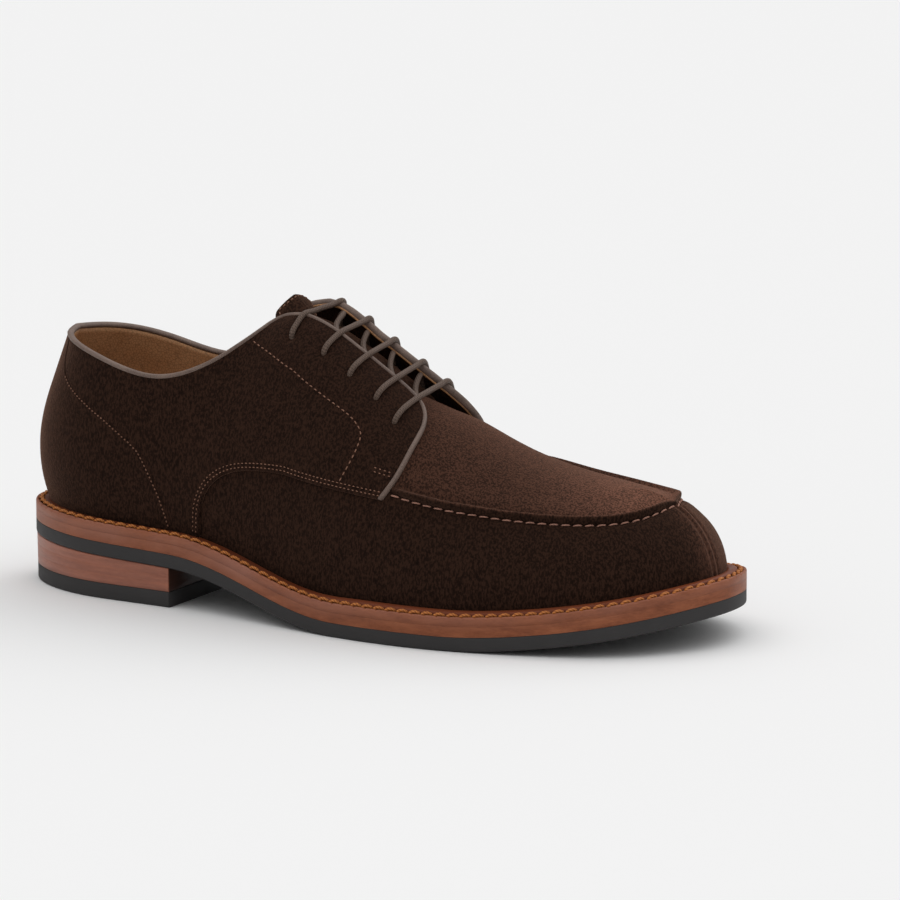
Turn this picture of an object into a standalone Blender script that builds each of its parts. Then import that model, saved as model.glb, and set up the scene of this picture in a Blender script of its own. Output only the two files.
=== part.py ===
"""Split toe derby, right shoe, standing empty on its sole.

Sizes are millimetres in the shoe's own lengthwise frame: x runs from the back of the sole to the toe, the outer
(lateral) side is at -y, z is up from the floor. The meshes are placed in metres with the origin on the floor under
the middle of the shoe.
"""
import math

import bmesh
import bpy
import numpy as np

MM = 0.001
JOINT_GAP = 0.3

# Sole: length, layers and bottom profile
SOLE_LENGTH = 294.0
OUTSOLE_THICK = 5.2
MIDSOLE_THICK = 3.8
WELT_THICK = 3.4
WELT_MARGIN = 6.0
WELT_INNER_INSET = 11.0
HEEL_BACK_Z = 18.5
HEEL_SLOPE = -0.041
BREAST_X = 78.0
FLAT_START_X = 158.0
FLAT_END_X = 202.0
TOE_SPRING = 13.0
TOE_SPRING_POWER = 1.7
TOP_PIECE_THICK = 6.0
STACK_TOP_INSET = 0.6
STACK_FOOT_INSET = 1.4

# Outline of the sole: fraction of its length, outer edge y, inner edge y
SOLE_OUTLINE = (
    (0.00, 0.0, 0.0),
    (0.05, -23.5, 23.0),
    (0.13, -34.0, 32.5),
    (0.25, -37.5, 33.5),
    (0.36, -42.5, 31.5),
    (0.47, -50.0, 31.5),
    (0.56, -54.5, 36.0),
    (0.64, -56.0, 43.0),
    (0.73, -53.5, 49.5),
    (0.81, -48.0, 51.5),
    (0.88, -40.5, 49.0),
    (0.94, -27.5, 41.0),
    (0.98, -12.0, 27.5),
    (1.00, 6.0, 6.0),
)

# Upper: a rib rises from the feather line to the top line at each station.
# Columns: station 0 heel to 1 toe, top x, top half width, top z, outward lean at the foot (degrees),
# foot handle, fall at the top (degrees), top handle (handles are fractions of the rib's chord), crest slope.
UPPER_RIBS = (
    (0.000, 13.5, 0.0, 96.6, 24.0, 0.34, 70.0, 0.36, 0.00),
    (0.125, 20.0, 15.0, 95.4, 19.0, 0.34, 72.0, 0.36, 0.00),
    (0.250, 45.0, 27.5, 90.8, 11.0, 0.34, 78.0, 0.34, 0.00),
    (0.312, 66.0, 28.5, 86.6, 7.0, 0.34, 78.0, 0.34, 0.00),
    (0.375, 88.0, 24.5, 92.6, 5.0, 0.34, 68.0, 0.32, 0.00),
    (0.420, 104.0, 14.5, 104.2, 4.0, 0.36, 42.0, 0.27, -0.10),
    (0.460, 119.0, 0.0, 114.0, 3.0, 0.37, 0.0, 0.23, -0.32),
    (0.500, 137.0, 0.0, 107.0, 3.0, 0.38, 0.0, 0.27, -0.47),
    (0.560, 161.0, 0.0, 91.5, 3.0, 0.38, 0.0, 0.31, -0.62),
    (0.625, 185.0, 0.0, 76.0, 4.0, 0.38, 0.0, 0.36, -0.48),
    (0.750, 221.0, 0.0, 62.5, 4.0, 0.39, 0.0, 0.41, -0.20),
    (0.875, 245.0, 0.0, 58.4, -2.0, 0.40, 0.0, 0.42, -0.14),
    (1.000, 255.0, 0.0, 57.0, -9.0, 0.40, 0.0, 0.42, -0.14),
)
CREST_START = 0.46
CREST_ENDS_X = (119.0, 255.0)
CREST_TOE_Y = 4.0
RIB_TURN_START = 0.30
WALL = 2.0

# Throat: half width of the gap between the facings, and the stations where it opens, is full and closes
THROAT_HALF = 11.0
THROAT_OPEN = (0.437, 0.462)
THROAT_CLOSE = (0.585, 0.612)

# Tongue: reach under the facings and the flap above them
TONGUE_THICK = 1.8
TONGUE_CLEARANCE = 0.6
TONGUE_SPAN = (0.468, 0.606)
TONGUE_HALF = (15.5, 24.0)
TONGUE_FLAP_STEPS = ((2.5, 11.0), (6.0, 9.6), (9.5, 8.4), (12.5, 6.4), (14.5, 3.6))
TONGUE_FLAP_RISE = 0.22

# Lace: radius, then each bar's x and its reach from the crest to the eyelet, from the top one down
LACE_RADIUS = 1.1
LACE_BARS = (
    (124.5, 20.5),
    (136.0, 24.0),
    (148.0, 25.5),
    (159.0, 28.0),
    (168.0, 31.0),
)

SOLE_STATIONS = 57
UPPER_STATIONS = 65
UPPER_ROWS = 13
ARC_SAMPLES = 41
TONGUE_COLUMNS = 9
BAR_POINTS = 13
BAR_SEARCH = (0.40, 0.66, 105)
TONGUE_ROWS = 15
SHARP_ANGLE = 40.0
WELD = 1e-6

COLOURS = {
    "suede": ((0.040, 0.020, 0.012), 0.95),
    "tongue suede": ((0.045, 0.023, 0.014), 0.95),
    "welt leather": ((0.230, 0.085, 0.038), 0.55),
    "midsole leather": ((0.190, 0.065, 0.028), 0.55),
    "sole rubber": ((0.014, 0.012, 0.011), 0.75),
    "stacked leather": ((0.165, 0.058, 0.026), 0.50),
    "top piece rubber": ((0.015, 0.013, 0.012), 0.75),
    "insole leather": ((0.420, 0.230, 0.110), 0.65),
    "waxed cord": ((0.060, 0.040, 0.032), 0.60),
}


def natural_spline(knots, values, at):
    """Cubic through the rows with no bending at its ends; values may have several columns."""
    knots = np.asarray(knots, float)
    values = np.asarray(values, float).reshape(len(knots), -1)
    count = len(knots)
    step = np.diff(knots)
    system = np.eye(count)
    right = np.zeros_like(values)
    rise = np.diff(values, axis=0) / step[:, None]
    for row in range(1, count - 1):
        system[row, row - 1 : row + 2] = step[row - 1], 2.0 * (step[row - 1] + step[row]), step[row]
        right[row] = 6.0 * (rise[row] - rise[row - 1])
    bend = np.linalg.solve(system, right)
    at = np.atleast_1d(np.asarray(at, float))
    span = np.clip(np.searchsorted(knots, at) - 1, 0, count - 2)
    width = step[span][:, None]
    before = (at - knots[span])[:, None]
    after = width - before
    return (
        (bend[span] * after**3 + bend[span + 1] * before**3) / (6.0 * width)
        + (values[span] / width - bend[span] * width / 6.0) * after
        + (values[span + 1] / width - bend[span + 1] * width / 6.0) * before
    )


def smooth_step(at, low, high):
    """Eased 0 to 1 between low and high."""
    share = np.clip((np.asarray(at, float) - low) / (high - low), 0.0, 1.0)
    return share * share * (3.0 - 2.0 * share)


def sole_bottom(x):
    """Height of the outsole's underside: sloped over the heel, eased through the arch, flat, then toe spring."""
    x = np.asarray(x, float)
    heel = HEEL_BACK_Z + HEEL_SLOPE * x
    breast = HEEL_BACK_Z + HEEL_SLOPE * BREAST_X
    run = FLAT_START_X - BREAST_X
    share = np.clip((x - BREAST_X) / run, 0.0, 1.0)
    arch = breast * (1.0 + 2.0 * share) * (1.0 - share) ** 2 + HEEL_SLOPE * run * share * (1.0 - share) ** 2
    toe_share = np.clip((x - FLAT_END_X) / (SOLE_LENGTH - FLAT_END_X), 0.0, None)
    toe = TOE_SPRING * toe_share**TOE_SPRING_POWER
    return np.where(x < BREAST_X, heel, arch + toe)


def outline_point(station, side):
    """Plan position on the sole's edge; side 0 is the outer one, 1 the inner one."""
    table = np.array(SOLE_OUTLINE)
    turns = np.arccos(1.0 - 2.0 * table[:, 0]) / math.pi
    x = SOLE_LENGTH * (1.0 - np.cos(math.pi * station)) / 2.0
    y = natural_spline(turns, table[:, 1 + side], station)[:, 0]
    return np.stack([x, y], axis=1)


def outline_inset(station, side, inset):
    """Sole edge moved inwards along its own normal; also returns that outward normal."""
    step = 1e-4
    low = np.clip(station - step, 0.0, 1.0)
    high = np.clip(station + step, 0.0, 1.0)
    along = outline_point(high, side) - outline_point(low, side)
    along /= np.linalg.norm(along, axis=1, keepdims=True)
    sign = 1.0 if side == 0 else -1.0
    normal = sign * np.stack([along[:, 1], -along[:, 0]], axis=1)
    normal[station <= 0.0] = (-1.0, 0.0)
    normal[station >= 1.0] = (1.0, 0.0)
    return outline_point(station, side) - inset * normal, normal


def feather_height(x):
    """Height where the upper meets the top of the welt."""
    return sole_bottom(x) + OUTSOLE_THICK + MIDSOLE_THICK + WELT_THICK + 3.0 * JOINT_GAP


def rib_controls(station, side):
    """Four control points of each rib, from the feather line up to the top line."""
    table = np.array(UPPER_RIBS)
    row = natural_spline(table[:, 0], table[:, 1:], station)
    top_x, half, top_z, lean, foot_handle, fall, top_handle, crest = row.T
    on_crest = station >= CREST_START
    half = np.where(on_crest, 0.0, np.clip(half, 0.0, None))
    fall = np.radians(np.where(on_crest, 0.0, fall))
    lean = np.radians(lean)
    sign = -1.0 if side == 0 else 1.0
    axis_y = CREST_TOE_Y * smooth_step(top_x, *CREST_ENDS_X)
    foot_xy, normal = outline_inset(station, side, WELT_MARGIN)
    foot = np.column_stack([foot_xy, feather_height(foot_xy[:, 0])])
    top = np.column_stack([top_x, axis_y + sign * half, top_z])
    away = foot[:, :2] - top[:, :2]
    away /= np.linalg.norm(away, axis=1, keepdims=True)
    chord = np.linalg.norm(foot - top, axis=1)[:, None]
    blend = smooth_step(station, RIB_TURN_START, CREST_START)[:, None]
    away = blend * away + (1.0 - blend) * normal
    rise = np.column_stack([normal * np.sin(lean)[:, None], np.cos(lean)])
    drop = np.column_stack([away * np.cos(fall)[:, None], crest * away[:, 0] - np.sin(fall)])
    return np.stack(
        [foot, foot + foot_handle[:, None] * chord * rise, top + top_handle[:, None] * chord * drop, top], axis=1
    )


def rib_polylines(station, side):
    """Each rib's curve as points, with the arc length from its foot."""
    controls = rib_controls(station, side)
    v = np.linspace(0.0, 1.0, ARC_SAMPLES)
    weights = np.stack([(1 - v) ** 3, 3 * v * (1 - v) ** 2, 3 * v**2 * (1 - v), v**3], axis=1)
    points = np.einsum("vk,nkc->nvc", weights, controls)
    length = np.linalg.norm(np.diff(points, axis=1), axis=2).cumsum(axis=1)
    return points, np.concatenate([np.zeros((len(points), 1)), length], axis=1)


def last_point(station, side, share=None, from_top=None):
    """Points of the outer surface at a share of each rib's length, or at a distance down from its top."""
    station = np.atleast_1d(np.asarray(station, float))
    points, length = rib_polylines(station, side)
    at = share * length[:, -1] if from_top is None else length[:, -1] - from_top
    out = np.empty((len(station), 3))
    for row in range(len(station)):
        for axis in range(3):
            out[row, axis] = np.interp(at[row], length[row], points[row, :, axis])
    return out


def last_normal(station, side, from_top):
    """Outward normal of the outer surface at a distance down from the top of each rib."""
    turn = 2e-3
    walk = 0.5
    ahead = last_point(np.clip(station + turn, 0.0, 1.0), side, from_top=from_top)
    behind = last_point(np.clip(station - turn, 0.0, 1.0), side, from_top=from_top)
    lower = last_point(station, side, from_top=from_top + walk)
    upper = last_point(station, side, from_top=np.maximum(from_top - walk, 0.0))
    sign = 1.0 if side == 0 else -1.0
    normal = sign * np.cross(ahead - behind, upper - lower)
    return normal / np.linalg.norm(normal, axis=1, keepdims=True)


def throat_gap(station):
    """Half width of the throat along the rib: rounded where it opens at the collar and where it closes."""
    opens = smooth_step(station, *THROAT_OPEN)
    left = np.clip((THROAT_CLOSE[1] - station) / (THROAT_CLOSE[1] - THROAT_CLOSE[0]), 0.0, 1.0)
    return THROAT_HALF * opens * np.sqrt(1.0 - (1.0 - left) ** 2)


def finish_material(name):
    """Plain surface in the piece's own colour."""
    colour, roughness = COLOURS[name]
    material = bpy.data.materials.new(name)
    material.use_nodes = True
    shader = material.node_tree.nodes["Principled BSDF"]
    shader.inputs["Base Color"].default_value = (*colour, 1.0)
    shader.inputs["Roughness"].default_value = roughness
    shader.inputs["Metallic"].default_value = 0.0
    return material


def place(points, centre):
    """Millimetres in the shoe's frame to metres about the middle of its floor box."""
    return (np.asarray(points, float) - centre) * MM


def add_solid(name, finish, points, faces, centre, close_normals=True):
    """Welded mesh object from points in millimetres."""
    mesh = bpy.data.meshes.new(name)
    mesh.from_pydata(place(points, centre).tolist(), [], [list(map(int, face)) for face in faces])
    work = bmesh.new()
    work.from_mesh(mesh)
    bmesh.ops.remove_doubles(work, verts=work.verts, dist=WELD)
    if close_normals:
        bmesh.ops.recalc_face_normals(work, faces=work.faces)
    work.to_mesh(mesh)
    work.free()
    mesh.shade_smooth()
    mesh.set_sharp_from_angle(angle=math.radians(SHARP_ANGLE))
    mesh.materials.append(finish_material(finish))
    piece = bpy.data.objects.new(name, mesh)
    bpy.context.scene.collection.objects.link(piece)
    return piece


def grid_faces(columns, rows, first=0, wrap=False):
    """Quads of a grid of columns by rows, its points stored column after column."""
    last = columns if wrap else columns - 1
    faces = []
    for column in range(last):
        here = first + column * rows
        there = first + ((column + 1) % columns) * rows
        for row in range(rows - 1):
            faces.append((here + row, there + row, there + row + 1, here + row + 1))
    return faces


def add_slab(name, finish, centre, low, high, insets=(0.0, 0.0), end_x=SOLE_LENGTH):
    """Layer between two heights that depend on x, with the sole's outline inset at its foot and its top."""
    last = math.acos(1.0 - 2.0 * min(end_x / SOLE_LENGTH, 1.0)) / math.pi
    station = np.linspace(0.0, last, SOLE_STATIONS)
    corners = []
    for side, height, inset in ((0, low, insets[0]), (0, high, insets[1]), (1, high, insets[1]), (1, low, insets[0])):
        plan, _ = outline_inset(station, side, inset)
        if end_x < SOLE_LENGTH:
            plan[-1, 0] = end_x
        corners.append(np.column_stack([plan, height(plan[:, 0])]))
    points = np.stack(corners, axis=1).reshape(-1, 3)
    faces = []
    for here in range(0, 4 * (SOLE_STATIONS - 1), 4):
        for corner in range(4):
            following = (corner + 1) % 4
            faces.append((here + corner, here + 4 + corner, here + 4 + following, here + following))
    if end_x < SOLE_LENGTH:
        end = 4 * (SOLE_STATIONS - 1)
        faces.append((end, end + 1, end + 2, end + 3))
    return add_solid(name, finish, points, faces, centre)


def add_welt(centre, low, high):
    """Flat ring that follows the sole's edge all the way round."""
    station = np.linspace(0.0, 1.0, SOLE_STATIONS)
    loop = []
    for side, order in ((0, station), (1, station[::-1][1:-1])):
        edges = [outline_inset(order, side, inset)[0] for inset in (0.0, WELT_INNER_INSET)]
        section = [(edges[0], low), (edges[0], high), (edges[1], high), (edges[1], low)]
        corners = [np.column_stack([plan, height(plan[:, 0])]) for plan, height in section]
        loop.append(np.stack(corners, axis=1))
    points = np.concatenate(loop)
    count = len(points)
    faces = []
    for step in range(count):
        here = 4 * step
        there = 4 * ((step + 1) % count)
        for corner in range(4):
            following = (corner + 1) % 4
            faces.append((here + corner, there + corner, there + following, here + following))
    return add_solid("welt", "welt leather", points.reshape(-1, 3), faces, centre)


def add_upper(centre):
    """Hollow upper: ribs round the whole shoe, open under the foot, at the collar and along the throat."""
    station = np.linspace(0.0, 1.0, UPPER_STATIONS)
    columns = []
    for side, order in ((0, station), (1, station[::-1])):
        length = rib_polylines(order, side)[1][:, -1]
        top = 1.0 - throat_gap(order) / length
        rows = [last_point(order, side, share=top * row / (UPPER_ROWS - 1)) for row in range(UPPER_ROWS)]
        columns.append(np.stack(rows, axis=1))
    points = np.concatenate(columns)
    faces = grid_faces(len(points), UPPER_ROWS, wrap=True)
    upper = add_solid("upper", "suede", points.reshape(-1, 3), faces, centre, close_normals=False)
    wall = upper.modifiers.new("wall", "SOLIDIFY")
    wall.thickness = WALL * MM
    wall.offset = -1.0
    wall.use_even_offset = True
    return upper


def add_tongue(centre):
    """Strip under the throat, with a rounded flap that stands above the facings."""
    depth = WALL + TONGUE_CLEARANCE
    station = np.linspace(TONGUE_SPAN[1], TONGUE_SPAN[0], TONGUE_ROWS)
    half = np.interp(station, TONGUE_SPAN, TONGUE_HALF)
    across = np.linspace(-1.0, 1.0, TONGUE_COLUMNS)
    columns = []
    for reach in across:
        side = 0 if reach < 0.0 else 1
        from_top = abs(reach) * half
        normal = last_normal(station, side, from_top)
        if reach == 0.0:
            normal[:, 1] = 0.0
        columns.append(last_point(station, side, from_top=from_top) - depth * normal)
    strip = np.stack(columns, axis=1)
    back = strip[-1]
    flap = []
    for run, flap_half in TONGUE_FLAP_STEPS:
        squeeze = flap_half / half[-1]
        middle = back[TONGUE_COLUMNS // 2]
        row = middle + (back - middle) * squeeze
        row[:, 0] -= run
        row[:, 2] += run * TONGUE_FLAP_RISE
        flap.append(row)
    points = np.concatenate([strip, np.array(flap)])
    faces = grid_faces(len(points), TONGUE_COLUMNS)
    tongue = add_solid("tongue", "tongue suede", points.reshape(-1, 3), faces, centre, close_normals=False)
    if tongue.data.polygons[0].normal.z < 0.0:
        tongue.data.flip_normals()
    body = tongue.modifiers.new("body", "SOLIDIFY")
    body.thickness = TONGUE_THICK * MM
    body.offset = -1.0
    body.use_even_offset = True
    return tongue


def bar_path(x, half_span):
    """Points of one lace bar: straight across the shoe at one x, lying on the facings."""
    search = np.linspace(*BAR_SEARCH)
    path = []
    for reach in np.linspace(-half_span, half_span, BAR_POINTS):
        side = 0 if reach < 0.0 else 1
        from_top = np.full(len(search), abs(reach))
        found = last_point(search, side, from_top=from_top)
        station = np.interp([x], found[:, 0], search)
        normal = last_normal(station, side, np.array([abs(reach)]))
        point = last_point(station, side, from_top=np.array([abs(reach)]))
        path.append((point + (LACE_RADIUS + JOINT_GAP) * normal)[0])
    return np.array(path)


def add_lace_bar(number, x, half_span, centre):
    """Round cord along one bar, closed at both ends."""
    name = f"lace_bar_{number}"
    curve = bpy.data.curves.new(name, "CURVE")
    curve.dimensions = "3D"
    curve.bevel_depth = LACE_RADIUS * MM
    curve.bevel_resolution = 2
    curve.use_fill_caps = True
    path = place(bar_path(x, half_span), centre)
    spline = curve.splines.new("POLY")
    spline.points.add(len(path) - 1)
    spline.points.foreach_set("co", np.column_stack([path, np.ones(len(path))]).ravel())
    curve.materials.append(finish_material("waxed cord"))
    bar = bpy.data.objects.new(name, curve)
    bpy.context.scene.collection.objects.link(bar)
    return bar


def floor_centre():
    """Middle of the sole's plan box, on the floor."""
    station = np.linspace(0.0, 1.0, SOLE_STATIONS)
    outer = outline_point(station, 0)
    inner = outline_point(station, 1)
    return np.array([SOLE_LENGTH / 2.0, (outer[:, 1].min() + inner[:, 1].max()) / 2.0, 0.0])


def level(*layers):
    """Height above the sole's bottom profile after the given layers and the gaps between them."""
    return lambda x: sole_bottom(x) + sum(layers)


def build():
    """All pieces of the shoe, from the floor up."""
    for old in list(bpy.data.objects):
        bpy.data.objects.remove(old)
    centre = floor_centre()
    on_outsole = OUTSOLE_THICK + JOINT_GAP
    on_midsole = on_outsole + MIDSOLE_THICK + JOINT_GAP
    stack_foot = TOP_PIECE_THICK + JOINT_GAP
    foot_insets = (STACK_FOOT_INSET, STACK_FOOT_INSET)
    add_slab("heel_top_piece", "top piece rubber", centre, lambda x: 0.0 * x, lambda x: 0.0 * x + TOP_PIECE_THICK,
             foot_insets, BREAST_X)
    add_slab("heel_stack", "stacked leather", centre, lambda x: 0.0 * x + stack_foot, level(-JOINT_GAP),
             (STACK_FOOT_INSET, STACK_TOP_INSET), BREAST_X)
    add_slab("outsole", "sole rubber", centre, level(), level(OUTSOLE_THICK))
    add_slab("midsole", "midsole leather", centre, level(on_outsole), level(on_outsole, MIDSOLE_THICK))
    add_welt(centre, level(on_midsole), level(on_midsole, WELT_THICK))
    insole_inset = WELT_INNER_INSET + JOINT_GAP
    add_slab("insole", "insole leather", centre, level(on_midsole), level(on_midsole, WELT_THICK),
             (insole_inset, insole_inset))
    add_upper(centre)
    add_tongue(centre)
    for number, (x, half_span) in enumerate(LACE_BARS, start=1):
        add_lace_bar(number, x, half_span, centre)


build()
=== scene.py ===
"""Looks of one split toe derby: napped suede upper, raised apron seam, stitched welt and waxed lace.

Sizes are millimetres in the shoe's own lengthwise frame: x runs from the back of the sole to the toe, the
outer side lies at -y and z is up from the floor. Meshes are written in metres about the middle of the
sole's floor box.
"""
import logging
import math
from dataclasses import dataclass
from enum import Enum
from typing import Callable, Optional

import bmesh
import bpy
import numpy as np
from mathutils import Matrix, Vector


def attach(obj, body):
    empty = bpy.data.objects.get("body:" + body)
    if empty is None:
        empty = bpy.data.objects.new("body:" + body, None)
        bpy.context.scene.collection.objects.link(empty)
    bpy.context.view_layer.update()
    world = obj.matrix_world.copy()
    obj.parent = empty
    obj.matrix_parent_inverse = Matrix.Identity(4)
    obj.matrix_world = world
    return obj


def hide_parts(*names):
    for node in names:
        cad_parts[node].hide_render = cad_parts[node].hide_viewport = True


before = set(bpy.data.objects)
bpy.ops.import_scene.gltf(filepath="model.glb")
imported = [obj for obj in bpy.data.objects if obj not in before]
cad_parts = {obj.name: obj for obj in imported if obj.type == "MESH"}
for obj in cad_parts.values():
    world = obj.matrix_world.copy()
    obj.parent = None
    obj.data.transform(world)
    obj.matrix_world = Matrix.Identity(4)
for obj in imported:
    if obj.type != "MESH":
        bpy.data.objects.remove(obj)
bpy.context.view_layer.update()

Array = np.ndarray
Colour = tuple[float, float, float]
Socket = bpy.types.NodeSocket
Range = tuple[float, float]
Table = tuple[Range, ...]
Profile = tuple[tuple[float, float, float], ...]
LOG = logging.getLogger("derby")
MM = 0.001
BODY = "root"
ARC_SAMPLES = 41
ROW_SAMPLES = 90
WELD = 1e-7
BLACK = (0.0, 0.0, 0.0, 1.0)
# Near black of painted shade on leather edges.
NEAR_BLACK = (0.012, 0.004, 0.002, 1.0)

# Drop of the upper's lowest row behind the welt's stitching, and its further drop at the back of the shoe
TUCK = 0.9
BACK_TUCK = 1.2

# Stretches of x over which the further drop and the bloom of the sole's edge fade out
TUCK_FADE = (130.0, 170.0)
BLOOM_FADE = (90.0, 190.0)

# Bloom of the sole's edge for its level, and what the back of the shoe adds to it for its level and all over
BLOOM = 0.55
BACK_BLOOM = (0.45, 0.25)

# Levels at which an edge's finish is nearly black as painted shade, stained, and plain
SHADED = -2.0
STAINED = -1.0
PLAIN = 0.35

# Outline of the sole: fraction of its length, outer edge y, inner edge y
SOLE_OUTLINE = (
    (0.00, 0.0, 0.0),
    (0.05, -23.5, 23.0),
    (0.13, -34.0, 32.5),
    (0.25, -37.5, 33.5),
    (0.36, -42.5, 31.5),
    (0.47, -50.0, 31.5),
    (0.56, -54.5, 36.0),
    (0.64, -56.0, 43.0),
    (0.73, -53.5, 49.5),
    (0.81, -48.0, 51.5),
    (0.88, -40.5, 49.0),
    (0.94, -27.5, 41.0),
    (0.98, -12.0, 27.5),
    (1.00, 6.0, 6.0),
)

# Ribs of the last: station, top x, top half width, top z, lean at the foot (degrees), foot handle,
# fall at the top (degrees), top handle, crest slope
UPPER_RIBS = (
    (0.000, 13.5, 0.0, 96.6, 24.0, 0.34, 70.0, 0.36, 0.00),
    (0.125, 20.0, 15.0, 95.4, 19.0, 0.34, 72.0, 0.36, 0.00),
    (0.250, 45.0, 27.5, 90.8, 11.0, 0.34, 78.0, 0.34, 0.00),
    (0.312, 66.0, 28.5, 86.6, 7.0, 0.34, 78.0, 0.34, 0.00),
    (0.375, 88.0, 24.5, 92.6, 5.0, 0.34, 68.0, 0.32, 0.00),
    (0.420, 104.0, 14.5, 104.2, 4.0, 0.36, 42.0, 0.27, -0.10),
    (0.460, 119.0, 0.0, 114.0, 3.0, 0.37, 0.0, 0.23, -0.32),
    (0.500, 137.0, 0.0, 107.0, 3.0, 0.38, 0.0, 0.27, -0.47),
    (0.560, 161.0, 0.0, 91.5, 3.0, 0.38, 0.0, 0.31, -0.62),
    (0.625, 185.0, 0.0, 75.2, 4.0, 0.38, 0.0, 0.36, -0.48),
    (0.750, 221.0, 0.0, 60.3, 4.0, 0.39, 0.0, 0.41, -0.20),
    (0.875, 245.0, 0.0, 56.4, -2.0, 0.40, 0.0, 0.42, -0.14),
    (1.000, 255.0, 0.0, 55.6, -9.0, 0.40, 0.0, 0.42, -0.14),
)


def clamp(values: Array) -> Array:
    """Values held between 0 and 1."""
    return np.clip(values, 0.0, 1.0)


def unit_steps(count: int) -> Array:
    """Evenly spaced values from 0 to 1."""
    return np.linspace(0.0, 1.0, count)


def natural_spline(knots: Array, values: Array, at: Array) -> Array:
    """Cubic through the rows with no bending at its ends.

    Args:
        knots: rising parameter of each row.
        values: one or more columns of values at the knots.
        at: parameters to read.

    Returns:
        One row of values for each parameter.
    """
    knots = np.asarray(knots, float)
    values = np.asarray(values, float).reshape(len(knots), -1)
    step = np.diff(knots)
    system = np.eye(len(knots))
    right = np.zeros_like(values)
    rise = np.diff(values, axis=0) / step[:, None]
    for row in range(1, len(knots) - 1):
        system[row, row - 1 : row + 2] = step[row - 1], 2.0 * (step[row - 1] + step[row]), step[row]
        right[row] = 6.0 * (rise[row] - rise[row - 1])
    bend = np.linalg.solve(system, right)
    at = np.atleast_1d(np.asarray(at, float))
    span = np.clip(np.searchsorted(knots, at) - 1, 0, len(knots) - 2)
    width = step[span][:, None]
    before = (at - knots[span])[:, None]
    after = width - before
    return (
        (bend[span] * after**3 + bend[span + 1] * before**3) / (6.0 * width)
        + (values[span] / width - bend[span] * width / 6.0) * after
        + (values[span + 1] / width - bend[span + 1] * width / 6.0) * before
    )


def ease(at: Array, low: float, high: float) -> Array:
    """Eased 0 to 1 between low and high."""
    share = clamp((np.asarray(at, float) - low) / (high - low))
    return share * share * (3.0 - 2.0 * share)


def ease_off(at: Array, low: float, high: float) -> Array:
    """Eased 1 to 0 between low and high."""
    return 1.0 - ease(at, low, high)


def bell(at: Array, centre: float, width: float) -> Array:
    """Rounded hump of height 1: exp of minus the squared distance over the width."""
    return np.exp(-(((np.asarray(at, float) - centre) / width) ** 2))


def run_lengths(path: Array) -> Array:
    """Running length along a path of points, starting at 0."""
    return np.concatenate([[0.0], np.linalg.norm(np.diff(path, axis=0), axis=1).cumsum()])


def row_lengths(grid: Array) -> Array:
    """Running length along each row of a grid of points, starting at 0."""
    run = np.linalg.norm(np.diff(grid, axis=1), axis=2).cumsum(axis=1)
    return np.concatenate([np.zeros((len(run), 1)), run], axis=1)


def read_columns(at: Array, run: Array, values: Array) -> Array:
    """Values at the given lengths, each column straight between its rows at the running lengths."""
    return np.stack([np.interp(at, run, column) for column in values.T], axis=1)


def read_path(path: Array, at: Array) -> Array:
    """Points at the given lengths along a path, straight between its points."""
    return read_columns(at, run_lengths(path), path)


def read_table(table: Table, at: Array) -> Array:
    """Values at the given parameters, straight between the table's rows of parameter and value."""
    rows = np.array(table)
    return np.interp(at, rows[:, 0], rows[:, 1])


def over_toe(outer: Array, inner: Array) -> Array:
    """Rows of the outer side up to the toe, then those of the inner side back from it."""
    return np.concatenate([outer, inner[::-1][1:]])


def through(points: Array, count: int) -> Array:
    """Cubic through given rows, its parameter the chord length, read at evenly spaced parameters."""
    chord = run_lengths(np.asarray(points, float))
    return natural_spline(chord, points, np.linspace(0.0, chord[-1], count))


def unit(vectors: Array) -> Array:
    """Vectors scaled to length 1."""
    return vectors / np.maximum(np.linalg.norm(vectors, axis=-1, keepdims=True), 1e-12)


def bezier_weights(at: Array) -> Array:
    """The four cubic Bezier weights at each parameter, in the last axis."""
    return np.stack([(1 - at) ** 3, 3 * at * (1 - at) ** 2, 3 * at**2 * (1 - at), at**3], axis=-1)


def grid_normals(points: Array) -> Array:
    """Unit cross product of the grid's two directions at every point."""
    return unit(np.cross(np.gradient(points, axis=0), np.gradient(points, axis=1)))


def nearest(points: Array, path: Array) -> Array:
    """Distance from every point of a grid to the nearest point of a path."""
    gap = points.reshape(-1, 1, 3) - path[None]
    return np.sqrt((gap**2).sum(axis=2)).min(axis=1).reshape(points.shape[:-1])


class Side(Enum):
    """The two long sides of the shoe."""

    OUTER = 0
    INNER = 1

    @property
    def sign(self) -> float:
        """Direction of the side along y."""
        return -1.0 if self is Side.OUTER else 1.0


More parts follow.
